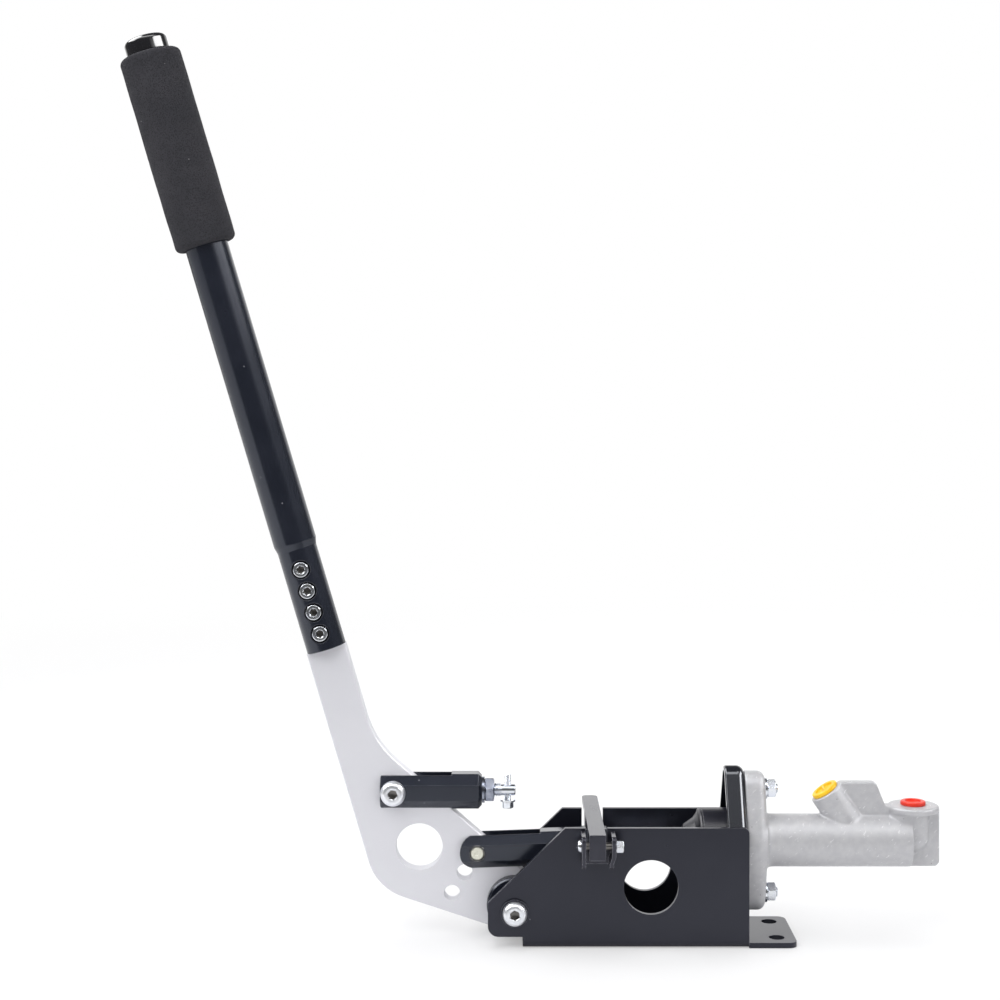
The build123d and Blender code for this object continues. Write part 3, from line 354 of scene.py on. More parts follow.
def foamMaterial(look):
    # closed cells: small pits all over, darkened with painted shade, with a few light specks of torn skin
    made, tree, shader = newMaterial("gripFoam", {"Specular IOR Level": look["specular"]})
    inputs = {"Vector": objectPlace(tree), "Scale": look["cellScale"]}
    cells = addNode(tree, "ShaderNodeTexVoronoi", inputs)
    pits = addRamp(tree, cells.outputs["Distance"], *look["pitRamp"])
    grain, color = addGrain(tree, look)
    color = addSpecks(tree, look, blendColors(tree, pits, look["pitShadeColor"], color))
    level, spread = look["rough"]
    rough = addMath(tree, "MULTIPLY_ADD", grain["Grain"], spread, level)
    normal = addBump(tree, look, {"Height": addMath(tree, "ADD", pits, grain["Grain"])})
    feed(tree, shader, {"Base Color": color, "Roughness": rough, "Normal": normal})
    return made


foamLook = {
    "color": (0.031, 0.031, 0.036), "color2": (0.040, 0.039, 0.045), "pitShadeColor": (0.012, 0.012, 0.014),
    "cellScale": 1300.0, "grain": (2400.0, 45.0), "rough": (0.86, 0.1), "bump": 0.55, "bumpDepth": 0.00035,
    "specular": 0.25, "pitRamp": (0.05, 0.55), "mottleRamp": (0.3, 0.7),
    "specks": {"Scale": 210.0, "Size": 0.055, "Share": 0.05}, "speckColor": (0.30, 0.30, 0.31),
}
materials["gripFoam"] = foamMaterial(foamLook)
print("materials ready:", len(materials))


def sharpen(bm, degrees):
    # smooth faces, with the edges past this angle kept crisp
    limit = math.radians(degrees)
    for face in bm.faces:
        face.smooth = True
    for edge in bm.edges:
        if len(edge.link_faces) == 2:
            edge.smooth = edge.calc_face_angle(0.0) < limit


def meshFrom(bm, name):
    mesh = bpy.data.meshes.new(name)
    bm.to_mesh(mesh)
    bm.free()
    return mesh


def addObject(name, data):
    made = bpy.data.objects.new(name, data)
    bpy.context.scene.collection.objects.link(made)
    return made


def finishPiece(name, bm, body, finish, replaced=(), sharpAngle=32.0):
    sharpen(bm, sharpAngle)
    mesh = meshFrom(bm, name)
    mesh.materials.append(materials[finish])
    piece = addObject(name, mesh)
    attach(piece, body)
    if replaced:
        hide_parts(*replaced)
    return piece


def zincPiece(name, bm, body, node, finish="zincBright"):
    return finishPiece(name, bm, body, finish, [node])


def cadCopy(node):
    bm = bmesh.new()
    bm.from_mesh(nodes[node].data)
    bmesh.ops.remove_doubles(bm, verts=bm.verts[:], dist=mergeDistance)
    return bm


def hexReach(angle, flats):
    # distance from the axis to a hexagon's side in that direction
    step = math.radians(60)
    return flats / 2 / math.cos((angle + step / 2) % step - step / 2)


def turnedForm(rings, place=None, sides=60, closed=False):
    # rings are (radius, height) or (radius, height, across flats); closed joins the last to the first
    bm = bmesh.new()
    bmesh.ops.create_circle(bm, cap_ends=False, radius=1.0, segments=sides)
    loopVerts, loopEdges = bm.verts[:], bm.edges[:]
    firstEdges = loopEdges[:]
    for index, ring in enumerate(rings):
        if index:
            grown = bmesh.ops.extrude_edge_only(bm, edges=loopEdges)["geom"]
            loopVerts = [item for item in grown if isinstance(item, bmesh.types.BMVert)]
            newVerts = set(loopVerts)
            newEdges = [item for item in grown if isinstance(item, bmesh.types.BMEdge)]
            loopEdges = [edge for edge in newEdges if newVerts.issuperset(edge.verts)]
        for vert in loopVerts:
            angle = math.atan2(vert.co.y, vert.co.x)
            reach = ring[0] if len(ring) == 2 else min(ring[0], hexReach(angle, ring[2]))
            vert.co = (reach * math.cos(angle), reach * math.sin(angle), ring[1])
    if closed:
        bmesh.ops.bridge_loops(bm, edges=firstEdges + loopEdges)
    else:
        bmesh.ops.edgeloop_fill(bm, edges=firstEdges)
        bmesh.ops.edgeloop_fill(bm, edges=loopEdges)
    bmesh.ops.recalc_face_normals(bm, faces=bm.faces[:])
    if place is not None:
        bmesh.ops.transform(bm, matrix=place, verts=bm.verts[:])
    return bm


def quarterRound(fromRadius, fromHeight, toRadius, toHeight, steps=6):
    # quarter of an ellipse that leaves upright and arrives flat
    rings = []
    for step in range(steps + 1):
        angle = math.radians(90 * step / steps)
        radius = toRadius + (fromRadius - toRadius) * math.cos(angle)
        rings.append((radius, fromHeight + (toHeight - fromHeight) * math.sin(angle)))
    return rings


def addForm(target, source):
    mesh = meshFrom(source, "joined")
    target.from_mesh(mesh)
    bpy.data.meshes.remove(mesh)
    return target


hardwareLook = {
    "threadDepth": 0.54, "threadFoot": 0.12, "crestFrom": 0.5, "crestTo": 0.62,  # shares of the pitch
    "tipInset": 0.3, "tipLength": 0.25,
    "hexDrop": 0.075, "hexLead": 0.03, "hexFace": 0.45,  # shares of the flats
    "rim": 0.0002, "socketLead": 0.0004, "drill": 0.30, "drillDepth": 0.0006, "socketShadeReach": 0.54,
    "button": {"rimShare": 0.16, "steps": 8, "mouth": 0.60, "sink": 0.0001, "depth": 0.62},
    "cap": {"steps": 4, "mouth": 0.62, "sink": 0.0, "depth": 0.6},
}


def threadForm(radius, pitch, start, end, place, steps=36):
    # screw thread between two heights, cut square at both ends
    bm = bmesh.new()
    core = radius - pitch * hardwareLook["threadDepth"]
    turns = math.ceil((end - start) / pitch) + 2
    low = start - pitch
    points = [
        bm.verts.new((core, 0, low)),
        bm.verts.new((core, 0, low + pitch * hardwareLook["threadFoot"])),
        bm.verts.new((radius, 0, low + pitch * hardwareLook["crestFrom"])),
        bm.verts.new((radius, 0, low + pitch * hardwareLook["crestTo"])),
        bm.verts.new((core, 0, low + pitch)),
    ]
    for first, second in zip(points, points[1:]):
        bm.edges.new((first, second))
    bmesh.ops.spin(
        bm,
        geom=bm.verts[:] + bm.edges[:],
        cent=(0, 0, 0),
        axis=(0, 0, 1),
        dvec=(0, 0, pitch / steps),
        angle=math.radians(360 * turns),
        steps=steps * turns,
        use_merge=False,
    )
    bmesh.ops.remove_doubles(bm, verts=bm.verts[:], dist=mergeDistance)
    for height, normal in ((start, (0, 0, -1)), (end, (0, 0, 1))):
        cut = bmesh.ops.bisect_plane(
            bm,
            geom=bm.verts[:] + bm.edges[:] + bm.faces[:],
            plane_co=(0, 0, height),
            plane_no=normal,
            clear_outer=True,
        )
        rim = [item for item in cut["geom_cut"] if isinstance(item, bmesh.types.BMEdge)]
        bmesh.ops.holes_fill(bm, edges=rim, sides=0)
    bmesh.ops.recalc_face_normals(bm, faces=bm.faces[:])
    bmesh.ops.transform(bm, matrix=place, verts=bm.verts[:])
    return bm


def threadCore(look):
    return look["radius"] - look["pitch"] * hardwareLook["threadDepth"]


def coneRings(flats, height, drop, upward=True, steps=4):
    # the 30 degree chamfer that turns a hexagon's corners into arcs
    chamfer = math.radians(30)
    corner = flats / 2 / math.cos(chamfer)
    face = corner - drop / math.tan(chamfer)
    rings = []
    for step in range(steps + 1):
        share = step / steps
        rise = drop * share
        radius = corner - (corner - face) * share
        rings.append((radius, height - drop + rise if upward else height + drop - rise, flats))
    return rings if upward else rings[::-1]


def nutForm(look, place):
    # hexagon nut with both faces chamfered and an open bore
    flats, height, bore = look["flats"], look["height"], look["bore"]
    drop = flats * hardwareLook["hexDrop"]
    lead = flats * hardwareLook["hexLead"]
    rings = [(bore, lead), (bore + lead, 0.0)]
    rings += coneRings(flats, 0.0, drop, upward=False)
    rings += coneRings(flats, height, drop)
    rings += [(bore + lead, height), (bore, height - lead)]
    return turnedForm(rings, place, closed=True)


def socketRings(mouth, height, flats, depth):
    # chamfered mouth, hexagon walls and a drilled bottom
    return [
        (mouth, height),
        (1.0, height - hardwareLook["socketLead"], flats),
        (1.0, height - depth, flats),
        (flats * hardwareLook["drill"], height - depth - hardwareLook["drillDepth"]),
    ]


def headRings(look):
    height = look["headHeight"]
    if look["head"] == "hexagon":
        return coneRings(look["flats"], height, look["flats"] * hardwareLook["hexDrop"])
    radius, kind = look["headRadius"], hardwareLook[look["head"]]
    rings = [(radius - hardwareLook["rim"], 0.0), (radius, hardwareLook["rim"])]
    if look["head"] == "button":
        rings += quarterRound(radius, height * kind["rimShare"], look["flat"], height, kind["steps"])
    else:
        rings += quarterRound(radius, height - look["lead"], radius - look["lead"], height, kind["steps"])
    socket, depth = look["socket"], height * kind["depth"]
    return rings + socketRings(socket * kind["mouth"], height - kind["sink"], socket, depth)


def screwForm(look, place):
    # head up from the seat, shank below it and a threaded tail
    radius, length, pitch = look["radius"], look["length"], look["pitch"]
    threadStart = length - look["thread"]
    core = threadCore(look)
    rings = [(core - pitch * hardwareLook["tipInset"], -length - pitch * hardwareLook["tipLength"])]
    rings += [(core, -length), (core, -threadStart), (radius, -threadStart), (radius, 0.0)]
    if look["head"] == "hexagon":
        rings.append((look["flats"] * hardwareLook["hexFace"], 0.0))
    bm = turnedForm(rings + headRings(look), place)
    return addForm(bm, threadForm(radius, pitch, -length, -threadStart, place))


def paintShadeOnFaces(piece, test):
    # faces that pass the test get the dark steel as painted shade, in the hex sockets and on the latch
    # bolt's shank between the ears
    piece.data.materials.append(materials["springSteel"])
    for face in piece.data.polygons:
        if test(face.center):
            face.material_index = 1


# painted shade in the hex sockets of these screws
def paintShadeInSockets(piece, look, axes):
    reach = look["socket"] * hardwareLook["socketShadeReach"]

    def inSocket(point):
        return any(math.hypot(point.x - axis.x, point.z - axis.z) < reach for axis in axes)

    paintShadeOnFaces(piece, inSocket)


def shiftAlong(place, height):
    return place @ Matrix.Translation((0, 0, height))


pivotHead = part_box("pivot_bolt")[0].y
pivotBoltLook = {
    "head": "button", "headRadius": 0.0070, "headHeight": 0.0044, "flat": 0.0040, "socket": 0.0050,
    "radius": 0.0040, "length": 0.0647, "thread": 0.0120, "pitch": 0.00125,
}
place = placeAlong((pivotPoint.x, pivotHead + pivotBoltLook["headHeight"], pivotPoint.z), toFront, 8)
bm = screwForm(pivotBoltLook, place)
piece = zincPiece("pivotBolt", bm, "frame", "pivot_bolt", "zincSatin")
paintShadeInSockets(piece, pivotBoltLook, [pivotPoint])

m8NutLook = {"flats": 0.0130, "height": 0.0065, "bore": 0.0036}
place = placeAlong((pivotPoint.x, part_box("pivot_nut")[0].y, pivotPoint.z), toBack, 12)
zincPiece("pivotNut", nutForm(m8NutLook, place), "frame", "pivot_nut")

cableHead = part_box("cable_bolt")[0].y
cableBoltLook = {**pivotBoltLook, "headRadius": 0.0073, "length": 0.0295, "thread": 0.0110}
place = placeAlong((cablePoint.x, cableHead + cableBoltLook["headHeight"], cablePoint.z), toFront, 20)
bm = screwForm(cableBoltLook, place)
piece = zincPiece("cableBolt", bm, "cable_clevis", "cable_bolt", "zincSatin")
paintShadeInSockets(piece, cableBoltLook, [cablePoint])
place = placeAlong((cablePoint.x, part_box("cable_nut")[0].y, cablePoint.z), toBack, 24)
bm = nutForm(m8NutLook, place)
zincPiece("cableNut", bm, "cable_clevis", "cable_nut")

latchBoltLook = {
    "head": "button", "headRadius": 0.0036, "headHeight": 0.0023, "flat": 0.0022, "socket": 0.0025,
    "radius": 0.0020, "length": 0.0236, "thread": 0.0060, "pitch": 0.0007, "coverGap": 0.0001,
}
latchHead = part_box("latch_bolt")[0].x + latchBoltLook["headHeight"]
place = placeAlong((latchHead, latchPoint.y, latchPoint.z), toLever)
bm = screwForm(latchBoltLook, place)
piece = zincPiece("latchBolt", bm, "frame", "latch_bolt")
# painted shade of the bracket on the shank between the latch ears
paintShadeOnFaces(piece, lambda point: latchHead + latchBoltLook["coverGap"] < point.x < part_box("latch_nut")[0].x)
latchNutLook = {"flats": 0.0064, "height": 0.0046, "bore": 0.0018}
place = placeAlong((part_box("latch_nut")[0].x, latchPoint.y, latchPoint.z), toCylinder, 30)
zincPiece("latchNut", nutForm(latchNutLook, place), "frame", "latch_nut")
print("pivot, cable and latch fasteners ready")

mastLook = {"foot": (-0.194515, 0.0, 0.166633), "tilt": 16.6}
mastTilt = math.radians(mastLook["tilt"])
mastUp = Vector((-math.sin(mastTilt), 0, math.cos(mastTilt)))
mastFoot = Vector(mastLook["foot"])


def mastPlace(reach, offset=0.0):
    # along the mast, and out of its front by the offset
    return placeAlong(mastFoot + mastUp * reach + toFront * offset, mastUp)


mastScrewLook = {
    "head": "cap", "headRadius": 0.0044, "headHeight": 0.0042, "lead": 0.0005, "socket": 0.0040,
    "radius": 0.0025, "length": 0.0175, "thread": 0.0060, "pitch": 0.0008,
    "first": 0.0100, "step": 0.0128, "count": 4, "seat": 0.0075,
}
bm = bmesh.new()
seats = []
for index in range(mastScrewLook["count"]):
    reach = mastScrewLook["first"] + mastScrewLook["step"] * index
    seats.append(mastFoot + mastUp * reach + toFront * mastScrewLook["seat"])
    addForm(bm, screwForm(mastScrewLook, placeAlong(seats[-1], toFront, 7 + 23 * index)))
piece = zincPiece("mastScrews", bm, "lever", "mast_screws")
paintShadeInSockets(piece, mastScrewLook, seats)

gripLook = {
    "start": 0.2430, "length": 0.1160, "radius": 0.01785, "bore": 0.0127, "edge": 0.0034,
    "lead": 0.0008, "leadShare": 0.3, "steps": 8, "rows": 44, "sides": 96,
    "swell": 0.00010, "proud": 0.00012, "skin": 0.0012,
    "wander": 0.00022, "wanderScale": 55.0, "cells": 0.00004, "cellScale": 420.0,
}


def foamGrip(look):
    # sleeve with soft ends, a little uneven along its length as cut foam is
    length, radius, edge, bore = look["length"], look["radius"], look["edge"], look["bore"]
    lead, steps = look["lead"], look["steps"]
    half = lead * look["leadShare"]
    rings = [(bore, lead), (bore + half, half), (bore + lead, 0.0)]
    foot = quarterRound(radius, -edge, radius - edge, 0.0, steps)
    rings += [(ringRadius, -ringHeight) for ringRadius, ringHeight in reversed(foot)]
    for row in range(1, look["rows"]):
        share = row / look["rows"]
        swollen = radius + look["swell"] * math.sin(math.pi * share)
        rings.append((swollen, edge + (length - 2 * edge) * share))
    rings += quarterRound(radius, length - edge, radius - edge, length, steps)
    rings += [(bore + lead, length), (bore + half, length - half), (bore, length - lead)]
    bm = turnedForm(rings, sides=look["sides"], closed=True)
    for vert in bm.verts:
        out = Vector((vert.co.x, vert.co.y, 0)).normalized()
        if vert.co.xy.length > bore + look["skin"]:
            slow = noise.noise(vert.co * look["wanderScale"]) * look["wander"]
            fine = noise.noise(vert.co * look["cellScale"]) * look["cells"]
            vert.co += out * min(slow + fine, look["proud"])
    bmesh.ops.transform(bm, matrix=mastPlace(look["start"]), verts=bm.verts[:])
    return bm


grip = finishPiece("foamGrip", foamGrip(gripLook), "lever", "gripFoam", ["foam_grip"], 60)

capLook = {
    "seat": 0.3593, "radius": 0.0128, "height": 0.0095, "edge": 0.0034, "rim": 0.0004,
    "dish": 0.0007, "dishShares": (0.75, 0.5, 0.25, 0.06), "steps": 10, "sides": 96,
    "plug": 0.0098, "plugLead": 0.0008, "depth": 0.0150,
}


def endCap(look):
    # plug below, then a turned head with a rounded shoulder and a shallow dished top
    radius, height, edge = look["radius"], look["height"], look["edge"]
    plug, lead, rim = look["plug"], look["plugLead"], look["rim"]
    rings = [(plug - lead, -look["depth"]), (plug, lead - look["depth"]), (plug, 0.0)]
    rings += [(radius - rim, 0.0), (radius, rim)]
    rings += quarterRound(radius, height - edge, radius - edge, height, look["steps"])
    for share in look["dishShares"]:
        inner = (radius - edge) * share
        rings.append((inner, height - look["dish"] * (1 - share * share)))
    return turnedForm(rings, mastPlace(look["seat"]), sides=look["sides"])


finishPiece("endCap", endCap(capLook), "lever", "glossCap", ["end_cap"])
print("mast screws, grip and cap ready")

pushRodLook = {
    "slope": 2.1013, "radius": 0.0040, "clevisEnd": 0.0774, "socket": 0.0240, "threadEnd": 0.1120,
    "span": 0.1500, "pitch": 0.00125, "nutHeight": 0.0050, "lead": 0.0004, "runout": 0.0006, "pole": 0.0002,
    "steps": 8,
}
rodSlope = math.radians(pushRodLook["slope"])
rodAlong = Vector((math.cos(rodSlope), 0, math.sin(rodSlope)))
rodPlace = placeAlong(rodPoint, rodAlong)


def pushRod(look):
    # threaded front end, plain shank and a ball end in the piston's cup
    radius, span, threadEnd = look["radius"], look["span"], look["threadEnd"]
    start = look["clevisEnd"] - look["socket"]
    core = threadCore(look)
    rings = [(core - look["lead"], start), (core, start + look["lead"]), (core, threadEnd)]
    rings += [(radius, threadEnd + look["runout"])]
    rings += quarterRound(radius, span, look["pole"], span + radius, look["steps"])
    bm = turnedForm(rings, rodPlace)
    return addForm(bm, threadForm(radius, look["pitch"], start, threadEnd, rodPlace))


zincPiece("pushRod", pushRod(pushRodLook), "push_rod", "push_rod")
rodNutLook = {**m8NutLook, "height": pushRodLook["nutHeight"]}
place = placeAlong(rodPoint + rodAlong * pushRodLook["clevisEnd"], rodAlong, 14)
bm = nutForm(rodNutLook, place)
zincPiece("rodJamNut", bm, "push_rod", "rod_jam_nut")

rodPinLook = {
    "radius": 0.00395, "reach": 0.0100, "headRadius": 0.0060, "headHeight": 0.0025, "bevel": 0.0006,
    "dimple": 0.34, "dimpleFloor": 0.28, "dimpleDepth": 0.0003,
}


def rodPin(look):
    radius, reach, bevel = look["radius"], look["reach"], look["bevel"]
    back = -reach - look["headHeight"]
    rings = [(look["headRadius"] - bevel, back), (look["headRadius"], back + bevel)]
    rings += [(look["headRadius"], -reach), (radius, -reach), (radius, reach - bevel)]
    rings += [(radius - bevel, reach), (radius * look["dimple"], reach)]
    rings += [(radius * look["dimpleFloor"], reach - look["dimpleDepth"])]
    return turnedForm(rings, placeAlong(rodPoint, toFront))


finishPiece("rodPin", rodPin(rodPinLook), "push_rod", "palePin", ["rod_pin"])
pinShadeRingLook = {"inner": 0.0040, "outer": 0.0048, "height": 0.0003, "sides": 64}


def pinShadeRing(look):
    # thin black ring round the pin's near end, a painted shadow of the gap round the pin and no real part
    inner, outer, height = look["inner"], look["outer"], look["height"]
    bead = (outer - inner) / 4
    rings = [(inner, 0.0), (inner, height / 2), (inner + bead, height), (outer - bead, height)]
    rings += [(outer, height / 2), (outer, 0.0)]
    place = placeAlong((rodPoint.x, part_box("push_rod_clevis")[0].y, rodPoint.z), toFront)
    return turnedForm(rings, place, sides=look["sides"], closed=True)


# painted shadow: a black ring where the gap round the pin lies in shade
finishPiece("pinShadeRing", pinShadeRing(pinShadeRingLook), "push_rod", "glossCap")

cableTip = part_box("cable_clevis")[1].x
studLook = {
    "radius": 0.0040, "inside": 0.0180, "threadEnd": 0.0110, "neck": 0.0032, "length": 0.0195,
    "pitch": 0.00125, "lead": 0.0003, "neckLead": 0.0005,
    "washer": 0.0016, "nutHeight": 0.0056, "nutTurn": 0.3,
}
studPlace = placeAlong((cableTip, 0, cablePoint.z), toCylinder)


def cableStud(look):
    core = threadCore(look)
    inside, threadEnd, neck, length = look["inside"], look["threadEnd"], look["neck"], look["length"]
    lead, neckLead = look["lead"], look["neckLead"]
    rings = [(core - lead, -inside), (core, lead - inside), (core, threadEnd)]
    rings += [(neck, threadEnd + neckLead), (neck, length - neckLead), (neck - neckLead, length)]
    bm = turnedForm(rings, studPlace)
    return addForm(bm, threadForm(look["radius"], look["pitch"], -inside, threadEnd, studPlace))


zincPiece("cableStud", cableStud(studLook), "cable_clevis", "cable_stud")
studNutLook = {**m8NutLook, "height": studLook["nutHeight"]}
place = shiftAlong(studPlace, studLook["washer"]) @ Matrix.Rotation(studLook["nutTurn"], 4, "Z")
bm = nutForm(studNutLook, place)
zincPiece("studNut", bm, "cable_clevis", "stud_nut", "zincDark")

pinchLook = {
    "head": "cap", "headRadius": 0.0035, "headHeight": 0.0038, "lead": 0.0005, "socket": 0.0030,
    "radius": 0.0020, "length": 0.0154, "thread": 0.0145, "pitch": 0.0007,
}
pinchLow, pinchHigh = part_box("pinch_bolt")
pinchSeat = pinchLow.z + pinchLook["headHeight"]
place = placeAlong(((pinchLow.x + pinchHigh.x) / 2, 0, pinchSeat), downward)
bm = screwForm(pinchLook, place)
zincPiece("pinchBolt", bm, "cable_clevis", "pinch_bolt")
print("push rod, pin and cable stud ready")

flangeLook = {"spacing": 0.0600, "lowSpin": 12, "highSpin": 16}
flangeNutLook = {"flats": 0.0100, "height": 0.0052, "bore": 0.0027}
flangeBoltLook = {
    "head": "hexagon", "flats": 0.0100, "headHeight": 0.0040,
    "radius": 0.0030, "length": 0.0224, "thread": 0.0090, "pitch": 0.0010,
}
boltLow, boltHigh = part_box("flange_bolts")
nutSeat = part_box("flange_nuts")[0].x
cylinderAxis = (boltLow.z + boltHigh.z) / 2
bolts, nuts = bmesh.new(), bmesh.new()
for side, spin in ((-1, flangeLook["lowSpin"]), (1, flangeLook["highSpin"])):
    height = cylinderAxis + side * flangeLook["spacing"] / 2
    seat = boltLow.x + flangeBoltLook["headHeight"]
    addForm(bolts, screwForm(flangeBoltLook, placeAlong((seat, 0, height), toLever, 30)))
    addForm(nuts, nutForm(flangeNutLook, placeAlong((nutSeat, 0, height), toCylinder, spin)))
zincPiece("flangeBolts", bolts, "frame", "flange_bolts")
zincPiece("flangeNuts", nuts, "frame", "flange_nuts")

plugLook = {
    "height": 0.0023, "depth": 0.0012, "round": 0.0008, "steps": 5, "stub": 0.0050, "stubLength": 0.0080,
    "stubLead": 0.0006, "rim": 0.0003, "mark": 0.3, "markFloor": 0.25, "markDepth": 0.0002,
    "barLong": 1.96, "barWide": 0.0013, "barHigh": 0.9, "barSeat": 0.44, "barBevel": 0.0002,
}
inletLook = {**plugLook, "seat": (0.09515, 0.0, 0.08340), "angle": 56.2, "radius": 0.0080, "recess": 0.0054}
outletLook = {**plugLook, "seat": (0.1458, 0.0, 0.0756), "angle": 90.0, "radius": 0.0072, "recess": 0.0046}


def portPlug(look, withBar):
    # moulded push-in plug: a stub, a thin head and a round recess
    radius, height, recess, depth = look["radius"], look["height"], look["recess"], look["depth"]
    stub, stubLength, lead, rim = look["stub"], look["stubLength"], look["stubLead"], look["rim"]
    low = height - depth
    rings = [(stub - lead, -stubLength), (stub, lead - stubLength)]
    rings += [(stub, 0.0), (radius - rim, 0.0), (radius, rim)]
    rings += quarterRound(radius, height - look["round"], radius - look["round"], height, look["steps"])
    rings += [(recess + rim, height), (recess, height - rim), (recess, low + rim), (recess - rim, low)]
    rings += [(recess * look["mark"], low), (recess * look["markFloor"], low - look["markDepth"])]
    direction = (-math.cos(math.radians(look["angle"])), 0, math.sin(math.radians(look["angle"])))
    place = placeAlong(look["seat"], direction)
    bm = turnedForm(rings, place)
    if withBar:
        bar = bmesh.new()
        bmesh.ops.create_cube(bar, size=1.0)
        size = (recess * look["barLong"], look["barWide"], depth * look["barHigh"])
        bmesh.ops.scale(bar, vec=size, verts=bar.verts[:])
        bmesh.ops.bevel(
            bar,
            geom=bar.edges[:],
            offset=look["barBevel"],
            segments=2,
            affect="EDGES",
            profile=0.5,
            material=-1,
        )
        barPlace = shiftAlong(place, low + depth * look["barSeat"])
        bmesh.ops.transform(bar, matrix=barPlace, verts=bar.verts[:])
        addForm(bm, bar)
    return bm


bm = portPlug(inletLook, True)
finishPiece("inletPlug", bm, "frame", "yellowPlastic", ["inlet_plug"])
bm = portPlug(outletLook, False)
finishPiece("outletPlug", bm, "frame", "redPlastic", ["outlet_plug"])

bootLook = {
    "seat": (0.0475, 0.0, 0.0550), "inner": 0.0167, "outer": 0.0185, "clear": 0.0003, "sleeve": 0.0260,
    "length": 0.0360, "groove": 0.0244, "grooveWidth": 0.0007, "grooveDepth": 0.0005, "grooveLip": 0.0001,
    "mouth": 0.0058, "wall": 0.0018, "lip": 0.0005, "fold": 0.0002,
    "shoulder": 0.0022, "shoulderShare": 0.4, "shoulderDrop": 0.0009, "coneShare": 0.7, "coneDrop": 0.0032,
    "rollOut": 0.0016, "rollDrop": 0.0010, "rollIn": 0.0006, "innerCone": 0.0012, "innerEnd": 0.0036,
    "steps": 8, "sides": 96,
}


def rubberBoot(look):
    # sleeve, groove, round shoulder and a shallow cone with a rolled lip
    outer, inner, sleeve, length = look["outer"], look["inner"], look["sleeve"], look["length"]
    mouth, wall, lip, groove = look["mouth"], look["wall"], look["lip"], look["groove"]
    clear, fold, shoulder = look["clear"], look["fold"], look["shoulder"]
    low = groove + look["grooveWidth"]
    floor, edge, rim = outer - look["grooveDepth"], outer - look["grooveLip"], mouth + wall
    rings = [(inner, -clear), (outer - lip, -clear), (outer, -clear - lip), (outer, clear - groove)]
    rings += [(edge, -groove), (floor, -groove - fold), (floor, fold - low), (edge, -low)]
    rings += [(outer, -low - fold)]
    rings += quarterRound(
        outer,
        -sleeve + shoulder * look["shoulderShare"],
        outer - shoulder,
        -sleeve - look["shoulderDrop"],
        look["steps"],
    )[1:]
    rings += [(outer * look["coneShare"], -sleeve - look["coneDrop"])]
    rings += [(rim + look["rollOut"], -length + look["rollDrop"]), (rim + fold, -length + fold)]
    rings += [(rim - look["rollIn"], -length), (mouth + lip, -length)]
    rings += [(mouth, lip - length), (mouth, wall - length)]
    rings += [(inner - wall, look["innerCone"] - sleeve), (inner, look["innerEnd"] - sleeve)]
    return turnedForm(rings, placeAlong(look["seat"], toCylinder), sides=look["sides"], closed=True)


finishPiece("rubberBoot", rubberBoot(bootLook), "frame", "bootRubber", ["boot"])
print("flange fasteners, plugs and boot ready")

castingLook = {
    "voxel": 0.00060, "rounds": 3, "factor": 0.5, "bore": 0.0150, "skin": 0.00005, "thickness": 0.0120,
    "waist": 0.0200, "ear": 0.0102, "edge": 0.0045, "barrel": 0.0150, "root": 0.0035, "collar": 0.0224,
    "weld": 0.3, "sliver": 0.1, "flat": 0.4, "outletStart": 0.129, "boreShare": 0.66, "boreEnd": 0.139,
    "grainScale": 260.0, "crisp": 70,
}


def remeshed(bm, voxel):
    mesh = meshFrom(bm, "remeshSource")
    holder = addObject("remeshSource", mesh)
    modifier = holder.modifiers.new("voxels", "REMESH")
    modifier.mode = "VOXEL"
    modifier.voxel_size = voxel
    graph = bpy.context.evaluated_depsgraph_get()
    result = bpy.data.meshes.new_from_object(holder.evaluated_get(graph))
    bpy.data.objects.remove(holder)
    bpy.data.meshes.remove(mesh)
    bm = bmesh.new()
    bm.from_mesh(result)
    bpy.data.meshes.remove(result)
    return bm


def rootReach(look, depth, angle):
    # how far the flange and the barrel's root reach from the axis at this depth and angle
    edge, root = look["edge"], look["root"]
    lean = math.asin((look["waist"] - look["ear"]) / (flangeLook["spacing"] / 2))
    past = min(max(depth - look["thickness"] + edge, 0.0), edge)
    inset = edge - math.sqrt(edge**2 - past**2)
    flange = (look["waist"] - inset) / math.cos(max(angle - lean, 0.0))
    left = min(max(look["thickness"] + root - depth, 0.0), root)
    return max(flange, look["barrel"] + root - math.sqrt(root**2 - left**2))


